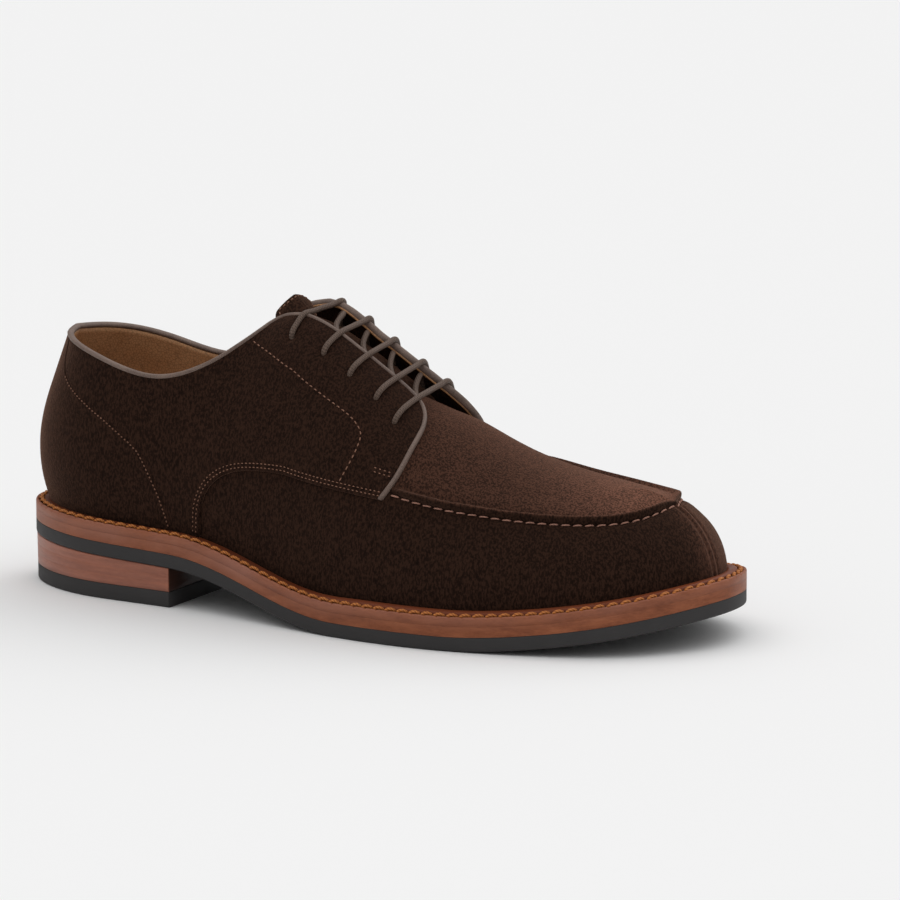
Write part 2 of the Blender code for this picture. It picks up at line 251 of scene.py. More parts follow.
@dataclass(frozen=True)
class Last:
    """The form that the shoe is made on, with the sole's outline and bottom profile."""

    length: float = 294.0
    outsole: float = 5.2
    midsole: float = 3.8
    welt: float = 3.4
    gap: float = 0.3
    margin: float = 6.0
    toe_margin: float = 2.0
    toe_reach: Range = (0.82, 1.0)
    heel_back: float = 18.5
    heel_slope: float = -0.041
    breast_x: float = 78.0
    flat_start: float = 158.0
    flat_end: float = 202.0
    toe_spring: float = 13.0
    spring_power: float = 1.7
    crest_start: float = 0.46
    crest_ends: Range = (119.0, 255.0)
    crest_toe_y: float = 4.0
    turn_start: float = 0.30
    throat_reach: Range = (0.40, 0.66)
    throat_samples: int = 131
    outline_samples: int = 57

    def sole_bottom(self, x: Array) -> Array:
        """Height of the outsole's underside: sloped at the heel, cubic at the arch, flat, then toe spring.

        Args:
            x: places along the shoe.

        Returns:
            Height at each place.
        """
        x = np.asarray(x, float)
        heel = self.heel_back + self.heel_slope * x
        breast = self.heel_back + self.heel_slope * self.breast_x
        run = self.flat_start - self.breast_x
        share = clamp((x - self.breast_x) / run)
        arch = (breast * (1.0 + 2.0 * share) + self.heel_slope * run * share) * (1.0 - share) ** 2
        spring = np.clip((x - self.flat_end) / (self.length - self.flat_end), 0.0, None) ** self.spring_power
        return np.where(x < self.breast_x, heel, arch + self.toe_spring * spring)

    def outline(self, station: Array, side: Side) -> Array:
        """Place on the sole's edge: x goes as a cosine of the station, y is a cubic through the table.

        Args:
            station: places along the side, 0 at the heel and 1 at the toe.
            side: outer or inner side.

        Returns:
            One x and y for each station.
        """
        table = np.array(SOLE_OUTLINE)
        turns = np.arccos(1.0 - 2.0 * table[:, 0]) / math.pi
        x = self.length * (1.0 - np.cos(math.pi * station)) / 2.0
        y = natural_spline(turns, table[:, 1 + side.value], station)[:, 0]
        return np.stack([x, y], axis=1)

    def inset(self, station: Array, side: Side, inset: Array) -> tuple[Array, Array]:
        """Sole edge moved inwards along its own normal.

        Args:
            station: places along the side, 0 at the heel and 1 at the toe.
            side: outer or inner side.
            inset: distance from the edge, one for all stations or one for each.

        Returns:
            Plan points, and the outward normal at each.
        """
        step = 1e-4
        low = clamp(station - step)
        high = clamp(station + step)
        along = unit(self.outline(high, side) - self.outline(low, side))
        normal = -side.sign * np.stack([along[:, 1], -along[:, 0]], axis=1)
        normal[station <= 0.0] = (-1.0, 0.0)
        normal[station >= 1.0] = (1.0, 0.0)
        return self.outline(station, side) - np.reshape(inset, (-1, 1)) * normal, normal

    def feather(self, x: Array) -> Array:
        """Height where the upper meets the top of the welt."""
        return self.sole_bottom(x) + self.outsole + self.midsole + self.welt + 3.0 * self.gap

    def welt_top(self, x: Array) -> Array:
        """Height of the welt's upper face."""
        return self.feather(x) - self.gap

    def centre(self) -> Array:
        """Middle of the sole's plan box, on the floor."""
        station = unit_steps(self.outline_samples)
        outer = self.outline(station, Side.OUTER)[:, 1].min()
        inner = self.outline(station, Side.INNER)[:, 1].max()
        return np.array([self.length / 2.0, (outer + inner) / 2.0, 0.0])

    def ribs(self, station: Array, side: Side) -> Array:
        """Bezier control points of each rib, from the feather line to the top line.

        Args:
            station: one value for each rib.
            side: outer or inner side.

        Returns:
            Array of ribs by four points by three axes.
        """
        table = np.array(UPPER_RIBS)
        row = natural_spline(table[:, 0], table[:, 1:], station)
        top_x, half, top_z, lean, foot_handle, fall, top_handle, crest = row.T
        on_crest = station >= self.crest_start
        half = np.where(on_crest, 0.0, np.clip(half, 0.0, None))
        fall = np.radians(np.where(on_crest, 0.0, fall))
        lean = np.radians(lean)
        axis_y = self.crest_toe_y * ease(top_x, *self.crest_ends)
        margin = self.margin + self.toe_margin * ease(station, *self.toe_reach)
        foot_xy, normal = self.inset(station, side, margin)
        foot = np.column_stack([foot_xy, self.feather(foot_xy[:, 0])])
        top = np.column_stack([top_x, axis_y + side.sign * half, top_z])
        blend = ease(station, self.turn_start, self.crest_start)[:, None]
        away = blend * unit(foot[:, :2] - top[:, :2]) + (1.0 - blend) * normal
        chord = np.linalg.norm(foot - top, axis=1)[:, None]
        rise = np.column_stack([normal * np.sin(lean)[:, None], np.cos(lean)])
        drop = np.column_stack([away * np.cos(fall)[:, None], crest * away[:, 0] - np.sin(fall)])
        low = foot + foot_handle[:, None] * chord * rise
        high = top + top_handle[:, None] * chord * drop
        return np.stack([foot, low, high, top], axis=1)

    def rib_runs(self, station: Array, side: Side) -> tuple[Array, Array]:
        """Control points of each rib and its running length at evenly spaced parameters."""
        controls = self.ribs(station, side)
        curve = np.einsum("vk,nkc->nvc", bezier_weights(unit_steps(ARC_SAMPLES)), controls)
        return controls, row_lengths(curve)

    def rib_length(self, station: Array, side: Side) -> Array:
        """Length of each station's rib."""
        return self.rib_runs(np.ravel(station), side)[1][:, -1].reshape(np.shape(station))

    def point(self, station: Array, side: Side, share: Array) -> Array:
        """Points of the outer surface: the rib's Bezier curve read at a share of its length.

        Args:
            station: stations, of any shape.
            side: outer or inner side.
            share: 0 at the feather line, 1 at the top, of a shape that goes with station.

        Returns:
            Array of that shape by three axes.
        """
        station, share = np.broadcast_arrays(np.asarray(station, float), np.asarray(share, float))
        controls, run = self.rib_runs(station.ravel(), side)
        goal = share.ravel() * run[:, -1]
        cell = (run[:, 1:-1] <= goal[:, None]).sum(axis=1)
        row = np.arange(len(run))
        low = run[row, cell]
        at = (cell + (goal - low) / (run[row, cell + 1] - low)) / (ARC_SAMPLES - 1)
        return np.einsum("nk,nkc->nc", bezier_weights(at), controls).reshape(*station.shape, 3)

    def normal(self, station: Array, side: Side, share: Array) -> Array:
        """Outward normal: cross product of short steps along the shoe and up the rib.

        Args:
            station: stations, of any shape.
            side: outer or inner side.
            share: shares of the rib, of a shape that goes with station.

        Returns:
            Unit vectors of that shape.
        """
        turn = 1e-3
        walk = 5e-3
        ahead = self.point(clamp(station + turn), side, share)
        behind = self.point(clamp(station - turn), side, share)
        upper = self.point(station, side, clamp(share + walk))
        lower = self.point(station, side, clamp(share - walk))
        return unit(-side.sign * np.cross(ahead - behind, upper - lower))

    def share_below(self, station: Array, side: Side, from_top: Array) -> Array:
        """Share of the rib at a distance down from its top."""
        return 1.0 - np.asarray(from_top, float) / self.rib_length(station, side)

    def station_at(self, x: float, side: Side, from_top: float) -> float:
        """Station at which the line at a distance down from the ribs' tops passes one x."""
        search = np.linspace(*self.throat_reach, self.throat_samples)
        share = self.share_below(search, side, np.full(len(search), from_top))
        return float(np.interp(x, self.point(search, side, share)[:, 0], search))

    def ring(self, station: Array, shares: Callable[[Side], Array]) -> Array:
        """Grid whose columns run from the outer side's first station over the toe to the inner side's."""
        return over_toe(*(self.point(station[:, None], side, shares(side)) for side in Side))


LAST = Last()
CENTRE = LAST.centre()


def edge_level(points: Array) -> Array:
    """Level within the sole's trimmed edge: the height's share of it, raised towards the heel for more bloom.

    Args:
        points: grid of points on the edge.

    Returns:
        Level at each point, from 0 to 1.
    """
    low = LAST.sole_bottom(points[..., 0]) + LAST.outsole
    high = LAST.welt_top(points[..., 0])
    back = ease_off(points[..., 0], *BLOOM_FADE)
    level = clamp((points[..., 2] - low) / (high - low))
    by_level, all_over = BACK_BLOOM
    return clamp((BLOOM + by_level * back) * level + all_over * back)


def rearward(points: Array) -> Array:
    """1 from heel to waist, where the upper comes lower over the welt, fading out towards the ball."""
    return ease_off(points[..., 0], *TUCK_FADE)


def tucked(outer: Array, inner: Array, share: Array) -> None:
    """Lowers the first row of both faces behind the welt's stitching, further at the back."""
    drop = share * (TUCK + BACK_TUCK * rearward(outer[:, 0]))
    outer[:, 0, 2] -= drop
    inner[:, 0, 2] -= drop


def quads_of(index: Array) -> Array:
    """Quads of a grid of vertex numbers."""
    return np.stack([index[:-1, :-1], index[1:, :-1], index[1:, 1:], index[:-1, 1:]], axis=-1).reshape(-1, 4)


def closed_rows(columns: int, rows: int) -> Array:
    """Quads of a grid whose rows close into a loop, as round a tube."""
    index = np.arange(columns * rows).reshape(columns, rows)
    return quads_of(np.concatenate([index, index[:, :1]], axis=1))


def shell_quads(columns: int, rows: int, folded: bool = False) -> Array:
    """Quads of a closed shell of two grids: the outer face, the inner face and the rims between them.

    Args:
        columns: columns of each grid.
        rows: rows of each grid.
        folded: whether the last column doubles back on itself, so that it has no rim.

    Returns:
        Quads for the outer grid's points followed by the inner grid's.
    """
    index = np.arange(columns * rows).reshape(columns, rows)
    shift = columns * rows
    faces = [quads_of(index), quads_of(index)[:, ::-1] + shift]
    rims = [index[:, 0], index[:, -1][::-1], index[0][::-1]]
    if not folded:
        rims.append(index[-1])
    faces += [np.stack([rim[1:], rim[:-1], rim[:-1] + shift, rim[1:] + shift], axis=1) for rim in rims]
    return np.concatenate(faces)


@dataclass(frozen=True)
class Mesh:
    """Points in millimetres with their quads, optional face corner coordinates and per-point values."""

    points: Array
    quads: Array
    corners: Optional[Array] = None
    values: Optional[dict[str, Array]] = None


def joined(meshes: list[Mesh]) -> Mesh:
    """Several meshes as one.

    Args:
        meshes: the meshes, with face corner coordinates on all of them or on none.

    Returns:
        One mesh, without values.
    """
    offsets = np.cumsum([0] + [len(mesh.points) for mesh in meshes[:-1]])
    corners = None
    if meshes[0].corners is not None:
        corners = np.concatenate([mesh.corners for mesh in meshes])
    return Mesh(
        np.concatenate([mesh.points for mesh in meshes]),
        np.concatenate([mesh.quads + offset for mesh, offset in zip(meshes, offsets)]),
        corners,
    )


def shell(
    outer: Array, inner: Array, folded: bool = False, values: Optional[dict[str, Array]] = None
) -> Mesh:
    """Closed shell between two grids of the same shape.

    Args:
        outer: grid of the outer face.
        inner: grid of the inner face.
        folded: whether the last column doubles back on itself.
        values: named values on the grid, the same for both faces.

    Returns:
        The shell.
    """
    columns, rows = outer.shape[:2]
    points = np.concatenate([outer.reshape(-1, 3), inner.reshape(-1, 3)])
    if values:
        values = {name: np.tile(value.ravel(), 2) for name, value in values.items()}
    return Mesh(points, shell_quads(columns, rows, folded), None, values)


def folded_over(ring: Array) -> Array:
    """Ring grid laid out as one sheet: each outer column runs on over the crest into its partner's rows."""
    half = len(ring) // 2 + 1
    return np.concatenate([ring[:half], ring[::-1][:half, ::-1][:, 1:]], axis=1)


def corner_spread(along: Array, sides: int) -> Array:
    """Face corner coordinates of a tube's quads: length at each ring and turn from 0 to 1 around it."""
    corner = np.stack(np.broadcast_arrays(along[:, None], unit_steps(sides + 1)[None]), axis=-1)
    spread = np.stack([corner[:-1, :-1], corner[1:, :-1], corner[1:, 1:], corner[:-1, 1:]], axis=2)
    return spread.reshape(-1, 2)


def closed_band(grid: Array, level: Array) -> Mesh:
    """Grid whose rows close into loops, with the level of its edge finish at each point."""
    return Mesh(grid.reshape(-1, 3), closed_rows(*grid.shape[:2]), None, {"level": level.ravel()})


def tube(path: Array, radius: Array, sides: int, normal: Optional[Array] = None, flat: float = 1.0) -> Mesh:
    """Round cord: a ring of points carried along a path, drawn in to a point at both ends.

    Args:
        path: centre line.
        radius: radius of the cord, one for all or one for each point.
        sides: points in a ring.
        normal: direction of each ring's first axis; up, made square to the path, if it isn't given.
        flat: the ring's size along that axis, as a share of the radius.

    Returns:
        The tube, with length along it and the turn around it as face corner coordinates.
    """
    tangent = unit(np.gradient(path, axis=0))
    first = np.tile([0.0, 0.0, 1.0], (len(path), 1)) if normal is None else normal
    first = unit(first - (first * tangent).sum(axis=1, keepdims=True) * tangent)
    second = np.cross(tangent, first)
    run = run_lengths(path)
    reach = np.minimum(run, run[-1] - run)
    swell = np.sqrt(clamp(1.0 - (1.0 - clamp(reach / radius)) ** 2))
    turn = np.linspace(0.0, 2.0 * math.pi, sides, endpoint=False)
    ring = flat * np.cos(turn)[None, :, None] * first[:, None] + np.sin(turn)[None, :, None] * second[:, None]
    points = path[:, None] + (radius * swell)[:, None, None] * ring
    return Mesh(points.reshape(-1, 3), closed_rows(len(path), sides), corner_spread(run, sides))


def add_piece(
    name: str, mesh: Mesh, finish: "Finish", replaces: tuple[str, ...] = (), sharp: float = 180.0
) -> None:
    """Puts a mesh into the scene on the shoe's body.

    Args:
        name: the piece's name.
        mesh: points in millimetres and quads.
        finish: what covers it.
        replaces: the plain solids that it stands for.
        sharp: edges that turn by more than this many degrees are drawn sharp.
    """
    data = bpy.data.meshes.new(name)
    count = len(mesh.quads)
    data.vertices.add(len(mesh.points))
    data.vertices.foreach_set("co", ((mesh.points - CENTRE) * MM).astype(np.float32).ravel())
    data.loops.add(4 * count)
    data.loops.foreach_set("vertex_index", mesh.quads.astype(np.int32).ravel())
    data.polygons.add(count)
    data.polygons.foreach_set("loop_start", np.arange(0, 4 * count, 4, dtype=np.int32))
    data.update(calc_edges=True)
    if mesh.corners is not None:
        data.uv_layers.new(name="run").data.foreach_set("uv", mesh.corners.astype(np.float32).ravel())
    for key, value in (mesh.values or {}).items():
        data.attributes.new(key, "FLOAT", "POINT").data.foreach_set("value", value.astype(np.float32))
    work = bmesh.new()
    work.from_mesh(data)
    bmesh.ops.remove_doubles(work, verts=work.verts, dist=WELD)
    bmesh.ops.recalc_face_normals(work, faces=work.faces)
    work.to_mesh(data)
    work.free()
    data.shade_smooth()
    if sharp < 180.0:
        data.set_sharp_from_angle(angle=math.radians(sharp))
    data.materials.append(finish.material())
    piece = bpy.data.objects.new(name, data)
    bpy.context.scene.collection.objects.link(piece)
    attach(piece, BODY)
    if replaces:
        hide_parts(*replaces)
    LOG.info("%s: %d points, %d faces", name, len(data.vertices), len(data.polygons))


@dataclass(frozen=True)
class NodeSheet:
    """Adds nodes to one tree and joins them."""

    tree: bpy.types.NodeTree

    def add(self, kind: str, inputs: Optional[dict] = None, **settings: object) -> bpy.types.Node:
        """Adds a node.

        Args:
            kind: the node's class name.
            inputs: sockets by name or number, each a value or an output to join.
            settings: the node's own properties.

        Returns:
            The node.
        """
        node = self.tree.nodes.new(kind)
        for key, value in settings.items():
            setattr(node, key, value)
        for key, value in (inputs or {}).items():
            if isinstance(value, bpy.types.NodeSocket):
                self.tree.links.new(value, node.inputs[key])
            else:
                node.inputs[key].default_value = value
        return node

    def maths(self, operation: str, first: object, second: object = 0.0) -> Socket:
        """Result of a Math node."""
        return self.add("ShaderNodeMath", {0: first, 1: second}, operation=operation).outputs[0]

    def times(self, first: object, second: object) -> Socket:
        """Product of two values."""
        return self.maths("MULTIPLY", first, second)

    def weighted(self, first: Socket, share: float, second: Socket, rest: float) -> Socket:
        """Sum of two values, each times a share of its own."""
        return self.maths("ADD", self.times(first, share), self.times(second, rest))

    def mix(self, factor: object, first: object, second: object) -> Socket:
        """Colour between two colours."""
        node = self.add("ShaderNodeMix", {0: factor, 6: first, 7: second}, data_type="RGBA")
        return node.outputs[2]

    def noise(self, vector: Socket, scale: object, detail: float = 3.0, rough: float = 0.6) -> Socket:
        """Value of a Noise texture."""
        inputs = {"Vector": vector, "Scale": scale, "Detail": detail, "Roughness": rough}
        return self.add("ShaderNodeTexNoise", inputs).outputs[0]

    def stretch(self, vector: Socket, scale: Colour) -> Socket:
        """Coordinates scaled along each axis."""
        return self.add("ShaderNodeMapping", {"Vector": vector, "Scale": scale}).outputs[0]

    def remap(
        self, value: Socket, low: float = 0.3, high: float = 0.7, to_low: float = 0.0, to_high: float = 1.0
    ) -> Socket:
        """Value stretched from one range to another and clamped."""
        inputs = {0: value, 1: low, 2: high, 3: to_low, 4: to_high}
        return self.add("ShaderNodeMapRange", inputs).outputs[0]


class Effect(Enum):
    """Shader groups that several finishes share."""

    NAP = "nap"
    GRAIN = "grain"
    EDGE = "edge streaks"
    SPECKLE = "speckle"
    TWIST = "twist"


def new_group(
    effect: Effect, numbers: tuple[str, ...], colours: tuple[str, ...]
) -> tuple[NodeSheet, dict, bpy.types.Node]:
    """Empty group with a vector input, the named inputs and the outputs Colour, Roughness and Height.

    Args:
        effect: which group.
        numbers: names of its number inputs.
        colours: names of its colour inputs.

    Returns:
        The sheet to draw on, its input sockets by name, and the output node.
    """
    tree = bpy.data.node_groups.new(effect.value, "ShaderNodeTree")
    sockets = [("Vector", "INPUT", "Vector")]
    sockets += [(name, "INPUT", "Color") for name in colours]
    sockets += [(name, "INPUT", "Float") for name in numbers]
    sockets += [("Colour", "OUTPUT", "Color")]
    sockets += [(name, "OUTPUT", "Float") for name in ("Roughness", "Height")]
    for name, way, kind in sockets:
        tree.interface.new_socket(name=name, in_out=way, socket_type=f"NodeSocket{kind}")
    start = tree.nodes.new("NodeGroupInput")
    end = tree.nodes.new("NodeGroupOutput")
    return NodeSheet(tree), {socket.name: socket for socket in start.outputs}, end


def put_out(
    sheet: NodeSheet, end: bpy.types.Node, colour: Socket, roughness: Socket, height: Socket
) -> bpy.types.NodeTree:
    """Joins a group's three results to its outputs, and gives the group."""
    for name, value in (("Colour", colour), ("Roughness", roughness), ("Height", height)):
        sheet.tree.links.new(value, end.inputs[name])
    return sheet.tree


def nap_group() -> bpy.types.NodeTree:
    """Suede: short fibres lying downwards over soft brushed patches, lighter where the nap stands up, with a
    painted highlight that its share input mixes in towards the lightest colour.
    """
    sheet, source, end = new_group(
        Effect.NAP, ("Fibre scale", "Patch scale", "Brush"), ("Deep", "Raised", "Lift and highlight colour"))
    vector, lift_and_painted_highlight = source["Vector"], source["Brush"]
    fibre = sheet.noise(sheet.stretch(vector, (1.0, 1.0, 0.45)), source["Fibre scale"], rough=0.7)
    fine = sheet.noise(vector, sheet.times(source["Fibre scale"], 2.2), 2.0)
    patch = sheet.noise(vector, source["Patch scale"])
    swept = sheet.noise(sheet.stretch(vector, (0.5, 0.5, 2.0)), sheet.times(source["Patch scale"], 2.7))
    stand = sheet.times(sheet.remap(fibre, 0.44, 0.56), 0.76)
    soft = sheet.weighted(sheet.remap(patch), 0.14, sheet.remap(swept), 0.10)
    lift = sheet.maths("ADD", stand, soft)
    # The highlight share paints a highlight into the colour: it shifts both the dark and the light colour
    # towards the lightest one.
    low = sheet.mix(lift_and_painted_highlight, source["Deep"], source["Raised"])
    high = sheet.mix(lift_and_painted_highlight, source["Raised"], source["Lift and highlight colour"])
    roughness = sheet.remap(lift, 0.0, 1.0, 0.86, 1.0)
    return put_out(sheet, end, sheet.mix(lift, low, high), roughness, sheet.weighted(fibre, 0.65, fine, 0.35))


def grain_group() -> bpy.types.NodeTree:
    """Smooth leather: small pebbles with darker creases between them and a slow change of tone."""
    sheet, source, end = new_group(Effect.GRAIN, ("Grain scale",), ("Base", "Worn"))
    vector, scale = source["Vector"], source["Grain scale"]
    place = {"Vector": vector, "Scale": scale}
    pebbles = sheet.add("ShaderNodeTexVoronoi", place, feature="DISTANCE_TO_EDGE")
    tone = sheet.noise(vector, sheet.times(scale, 0.06), 4.0)
    crease = sheet.remap(pebbles.outputs[0], 0.0, 0.12)
    worn = sheet.mix(sheet.remap(tone, 0.35, 0.7), source["Base"], source["Worn"])
    colour = sheet.mix(crease, sheet.mix(0.45, worn, BLACK), worn)
    roughness = sheet.remap(tone, 0.3, 0.7, 0.48, 0.68)
    return put_out(sheet, end, colour, roughness, sheet.weighted(crease, 0.6, tone, 0.4))


def edge_group() -> bpy.types.NodeTree:
    """Trimmed and waxed leather edge: level streaks, cloudy bloom and fine fibres.

    It is stained where Level is below 0, and nearly black towards -2 as painted shade.
    """
    sheet, source, end = new_group(
        Effect.EDGE, ("Streak scale", "Level", "Layers"), ("Dark", "Light", "Bloom", "Stain"))
    vector, scale, level = source["Vector"], source["Streak scale"], source["Level"]
    layers = sheet.add("ShaderNodeCombineXYZ", {0: 1.0, 1: 1.0, 2: source["Layers"]}).outputs[0]
    layered = sheet.add("ShaderNodeVectorMath", {0: vector, 1: layers}, operation="MULTIPLY").outputs[0]
    streak = sheet.noise(layered, scale, 4.0, 0.65)
    fibre = sheet.noise(sheet.stretch(vector, (1.0, 1.0, 4.0)), sheet.times(scale, 7.0))
    cloud = sheet.noise(vector, sheet.times(scale, 0.55))
    tone = sheet.weighted(sheet.remap(streak), 0.7, sheet.remap(fibre), 0.3)
    body = sheet.mix(tone, source["Dark"], source["Light"])
    dull = sheet.times(sheet.remap(cloud, 0.3, 0.7, 0.25, 0.9), sheet.remap(level, 0.15, 0.7))
    trimmed = sheet.mix(dull, body, source["Bloom"])
    stained = sheet.mix(sheet.remap(level, -0.05, -0.5), trimmed, source["Stain"])
    # Levels below -1.1 turn the colour towards near black, as painted shade.
    colour = sheet.mix(sheet.remap(level, -1.1, -1.6, 0.0, 0.8), stained, NEAR_BLACK)
    roughness = sheet.remap(cloud, 0.35, 0.7, 0.36, 0.58)
    return put_out(sheet, end, colour, roughness, sheet.weighted(streak, 0.6, fibre, 0.4))


def speckle_group() -> bpy.types.NodeTree:
    """Moulded rubber: a fine even speckle with a faint dusty bloom."""
    sheet, source, end = new_group(Effect.SPECKLE, ("Speckle scale",), ("Base", "Dust"))
    fine = sheet.noise(source["Vector"], source["Speckle scale"], 2.0)
    cloud = sheet.noise(source["Vector"], sheet.times(source["Speckle scale"], 0.03), 4.0)
    colour = sheet.mix(sheet.remap(cloud, 0.4, 0.75, 0.0, 0.7), source["Base"], source["Dust"])
    return put_out(sheet, end, colour, sheet.remap(cloud, 0.3, 0.7, 0.55, 0.75), fine)


def twist_group() -> bpy.types.NodeTree:
    """Thread and cord: two sets of slanting strands crossing along the length."""
    sheet, source, end = new_group(Effect.TWIST, ("Strands", "Lay", "Cross"), ("Base", "Bright"))
    parts = sheet.add("ShaderNodeSeparateXYZ", {0: source["Vector"]}).outputs
    along = sheet.times(parts[0], source["Lay"])
    around = sheet.times(sheet.times(parts[1], source["Strands"]), 2.0 * math.pi)
    right = sheet.maths("SINE", sheet.maths("ADD", along, around))
    left = sheet.maths("SINE", sheet.maths("SUBTRACT", along, around))
    crossing = sheet.times(sheet.times(right, left), source["Cross"])
    single = sheet.times(right, sheet.maths("SUBTRACT", 1.0, source["Cross"]))
    weave = sheet.remap(sheet.maths("ADD", crossing, single), -1.0, 1.0)
    blotch = sheet.noise(source["Vector"], 0.7)
    shade = sheet.times(weave, sheet.remap(blotch, 0.25, 0.75, 0.6, 1.0))
    colour = sheet.mix(shade, source["Base"], source["Bright"])
    return put_out(sheet, end, colour, sheet.remap(blotch, 0.3, 0.7, 0.5, 0.75), weave)


GROUP_MAKERS = {
    Effect.NAP: nap_group,
    Effect.GRAIN: grain_group,
    Effect.EDGE: edge_group,
    Effect.SPECKLE: speckle_group,
    Effect.TWIST: twist_group,
}


def effect_group(effect: Effect) -> bpy.types.NodeTree:
    """The effect's node group, made the first time it is asked for."""
    return bpy.data.node_groups.get(effect.value) or GROUP_MAKERS[effect]()


@dataclass(frozen=True)
class Finish:
    """One material: an effect with its own colours and sizes, and the shader's fixed values."""

    name: str
    effect: Effect
    colours: dict[str, Colour]
    numbers: dict[str, float]
    attributes: Optional[dict[str, str]] = None
    bump: float = 0.3
    depth_mm: float = 0.3
    specular: float = 0.3
    sheen: float = 0.0
    sheen_roughness: float = 0.5
    sheen_tint: Colour = (1.0, 1.0, 1.0)
    coat: float = 0.0
    coat_roughness: float = 0.3
    coordinates: str = "Object"

    def material(self) -> bpy.types.Material:
        """The material, made the first time it is asked for."""
        known = bpy.data.materials.get(self.name)
        if known:
            return known
        material = bpy.data.materials.new(self.name)
        material.use_nodes = True
        sheet = NodeSheet(material.node_tree)
        shader = material.node_tree.nodes["Principled BSDF"]
        vector = sheet.add("ShaderNodeTexCoord").outputs[self.coordinates]
        colours = {key: (*value, 1.0) for key, value in self.colours.items()}
        inputs = {"Vector": vector, **colours, **self.numbers}
        for key, attribute in (self.attributes or {}).items():
            inputs[key] = sheet.add("ShaderNodeAttribute", attribute_name=attribute).outputs["Fac"]
        group = sheet.add("ShaderNodeGroup", inputs, node_tree=effect_group(self.effect))
        relief = sheet.add("ShaderNodeBump", {"Strength": self.bump, "Distance": self.depth_mm * MM,
                                              "Height": group.outputs["Height"]})
        sheet.tree.links.new(group.outputs["Colour"], shader.inputs["Base Color"])
        sheet.tree.links.new(group.outputs["Roughness"], shader.inputs["Roughness"])
        sheet.tree.links.new(relief.outputs["Normal"], shader.inputs["Normal"])
        fixed = {
            "Specular IOR Level": self.specular,
            "Sheen Weight": self.sheen,
            "Sheen Roughness": self.sheen_roughness,
            "Sheen Tint": (*self.sheen_tint, 1.0),
            "Coat Weight": self.coat,
            "Coat Roughness": self.coat_roughness,
        }
        for key, value in fixed.items():
            shader.inputs[key].default_value = value
        return material


# The suede's lightest colour is a painted highlight, laid on by a per-point share on the vamp's toe and on
# the apron, where light falls from above and behind.
SUEDE = Finish(
    "napped suede", Effect.NAP, {"Deep": (0.0077, 0.0032, 0.0019), "Raised": (0.0365, 0.0172, 0.0109),
                                 "Lift and highlight colour": (0.212, 0.092, 0.060)},
    {"Fibre scale": 1350.0, "Patch scale": 120.0}, {"Brush": "lift_and_painted_highlight"}, bump=0.9, depth_mm=0.35, specular=0.06,
    sheen=0.26, sheen_roughness=0.36, sheen_tint=(1.0, 0.54, 0.37))
# The tongue takes an even tenth of its lightest colour, a plain lift of its tone.
TONGUE_SUEDE = Finish(
    "tongue suede", Effect.NAP, {"Deep": (0.010, 0.0045, 0.0027), "Raised": (0.044, 0.021, 0.0130),
                                 "Lift and highlight colour": (0.130, 0.062, 0.042)},
    {"Fibre scale": 1350.0, "Patch scale": 130.0, "Brush": 0.1}, bump=0.9, depth_mm=0.4, specular=0.06,
    sheen=0.2, sheen_roughness=0.33, sheen_tint=(1.0, 0.52, 0.34))
BINDING_LEATHER = Finish(
    "binding leather", Effect.GRAIN, {"Base": (0.140, 0.090, 0.070), "Worn": (0.250, 0.176, 0.141)},
    {"Grain scale": 1500.0}, bump=0.35, depth_mm=0.15, specular=0.4)
LINING_LEATHER = Finish(
    "lining leather", Effect.GRAIN, {"Base": (0.42, 0.20, 0.085), "Worn": (0.50, 0.26, 0.12)},
    {"Grain scale": 900.0}, bump=0.25, depth_mm=0.15, specular=0.3)
SOCK_LEATHER = Finish(
    "sock leather", Effect.GRAIN, {"Base": (0.36, 0.175, 0.078), "Worn": (0.45, 0.23, 0.11)},
    {"Grain scale": 800.0}, bump=0.25, depth_mm=0.15, specular=0.3)
EDGE_LEATHER = Finish(
    "trimmed edge leather", Effect.EDGE, {"Dark": (0.160, 0.045, 0.020), "Light": (0.350, 0.116, 0.052),
                                          "Bloom": (0.330, 0.142, 0.098), "Stain": (0.170, 0.042, 0.016)},
    {"Streak scale": 75.0, "Layers": 4.0}, {"Level": "level"}, bump=0.3, depth_mm=0.2, specular=0.15)
STACK_LEATHER = Finish(
    "stacked leather", Effect.EDGE, {"Dark": (0.195, 0.054, 0.028), "Light": (0.410, 0.135, 0.072),
                                     "Bloom": (0.310, 0.140, 0.100), "Stain": (0.120, 0.040, 0.022)},
    {"Streak scale": 42.0, "Layers": 11.0}, {"Level": "level"}, bump=0.35, depth_mm=0.2, specular=0.4,
    coat=0.12, coat_roughness=0.35)
SOLE_RUBBER = Finish(
    "sole rubber", Effect.SPECKLE, {"Base": (0.026, 0.024, 0.024), "Dust": (0.042, 0.039, 0.039)},
    {"Speckle scale": 2600.0}, bump=0.25, depth_mm=0.12, specular=0.4)
APRON_THREAD = Finish(
    "apron thread", Effect.TWIST, {"Base": (0.24, 0.105, 0.070), "Bright": (0.58, 0.31, 0.23)},
    {"Strands": 3.0, "Lay": 5.0, "Cross": 0.0}, bump=0.6, depth_mm=0.2, specular=0.35, coordinates="UV")
SEAM_THREAD = Finish(
    "seam thread", Effect.TWIST, {"Base": (0.14, 0.060, 0.034), "Bright": (0.40, 0.205, 0.130)},
    {"Strands": 2.0, "Lay": 6.0, "Cross": 0.0}, bump=0.5, depth_mm=0.15, specular=0.35, coordinates="UV")
WELT_THREAD = Finish(
    "welt thread", Effect.TWIST, {"Base": (0.32, 0.090, 0.016), "Bright": (0.66, 0.235, 0.045)},
    {"Strands": 3.0, "Lay": 4.5, "Cross": 0.0}, bump=0.6, depth_mm=0.25, specular=0.45, coordinates="UV")
WAXED_CORD = Finish(
    "waxed cord", Effect.TWIST, {"Base": (0.048, 0.029, 0.021), "Bright": (0.215, 0.145, 0.110)},
    {"Strands": 5.0, "Lay": 3.4, "Cross": 0.75}, bump=0.7, depth_mm=0.35, specular=0.3, coordinates="UV")


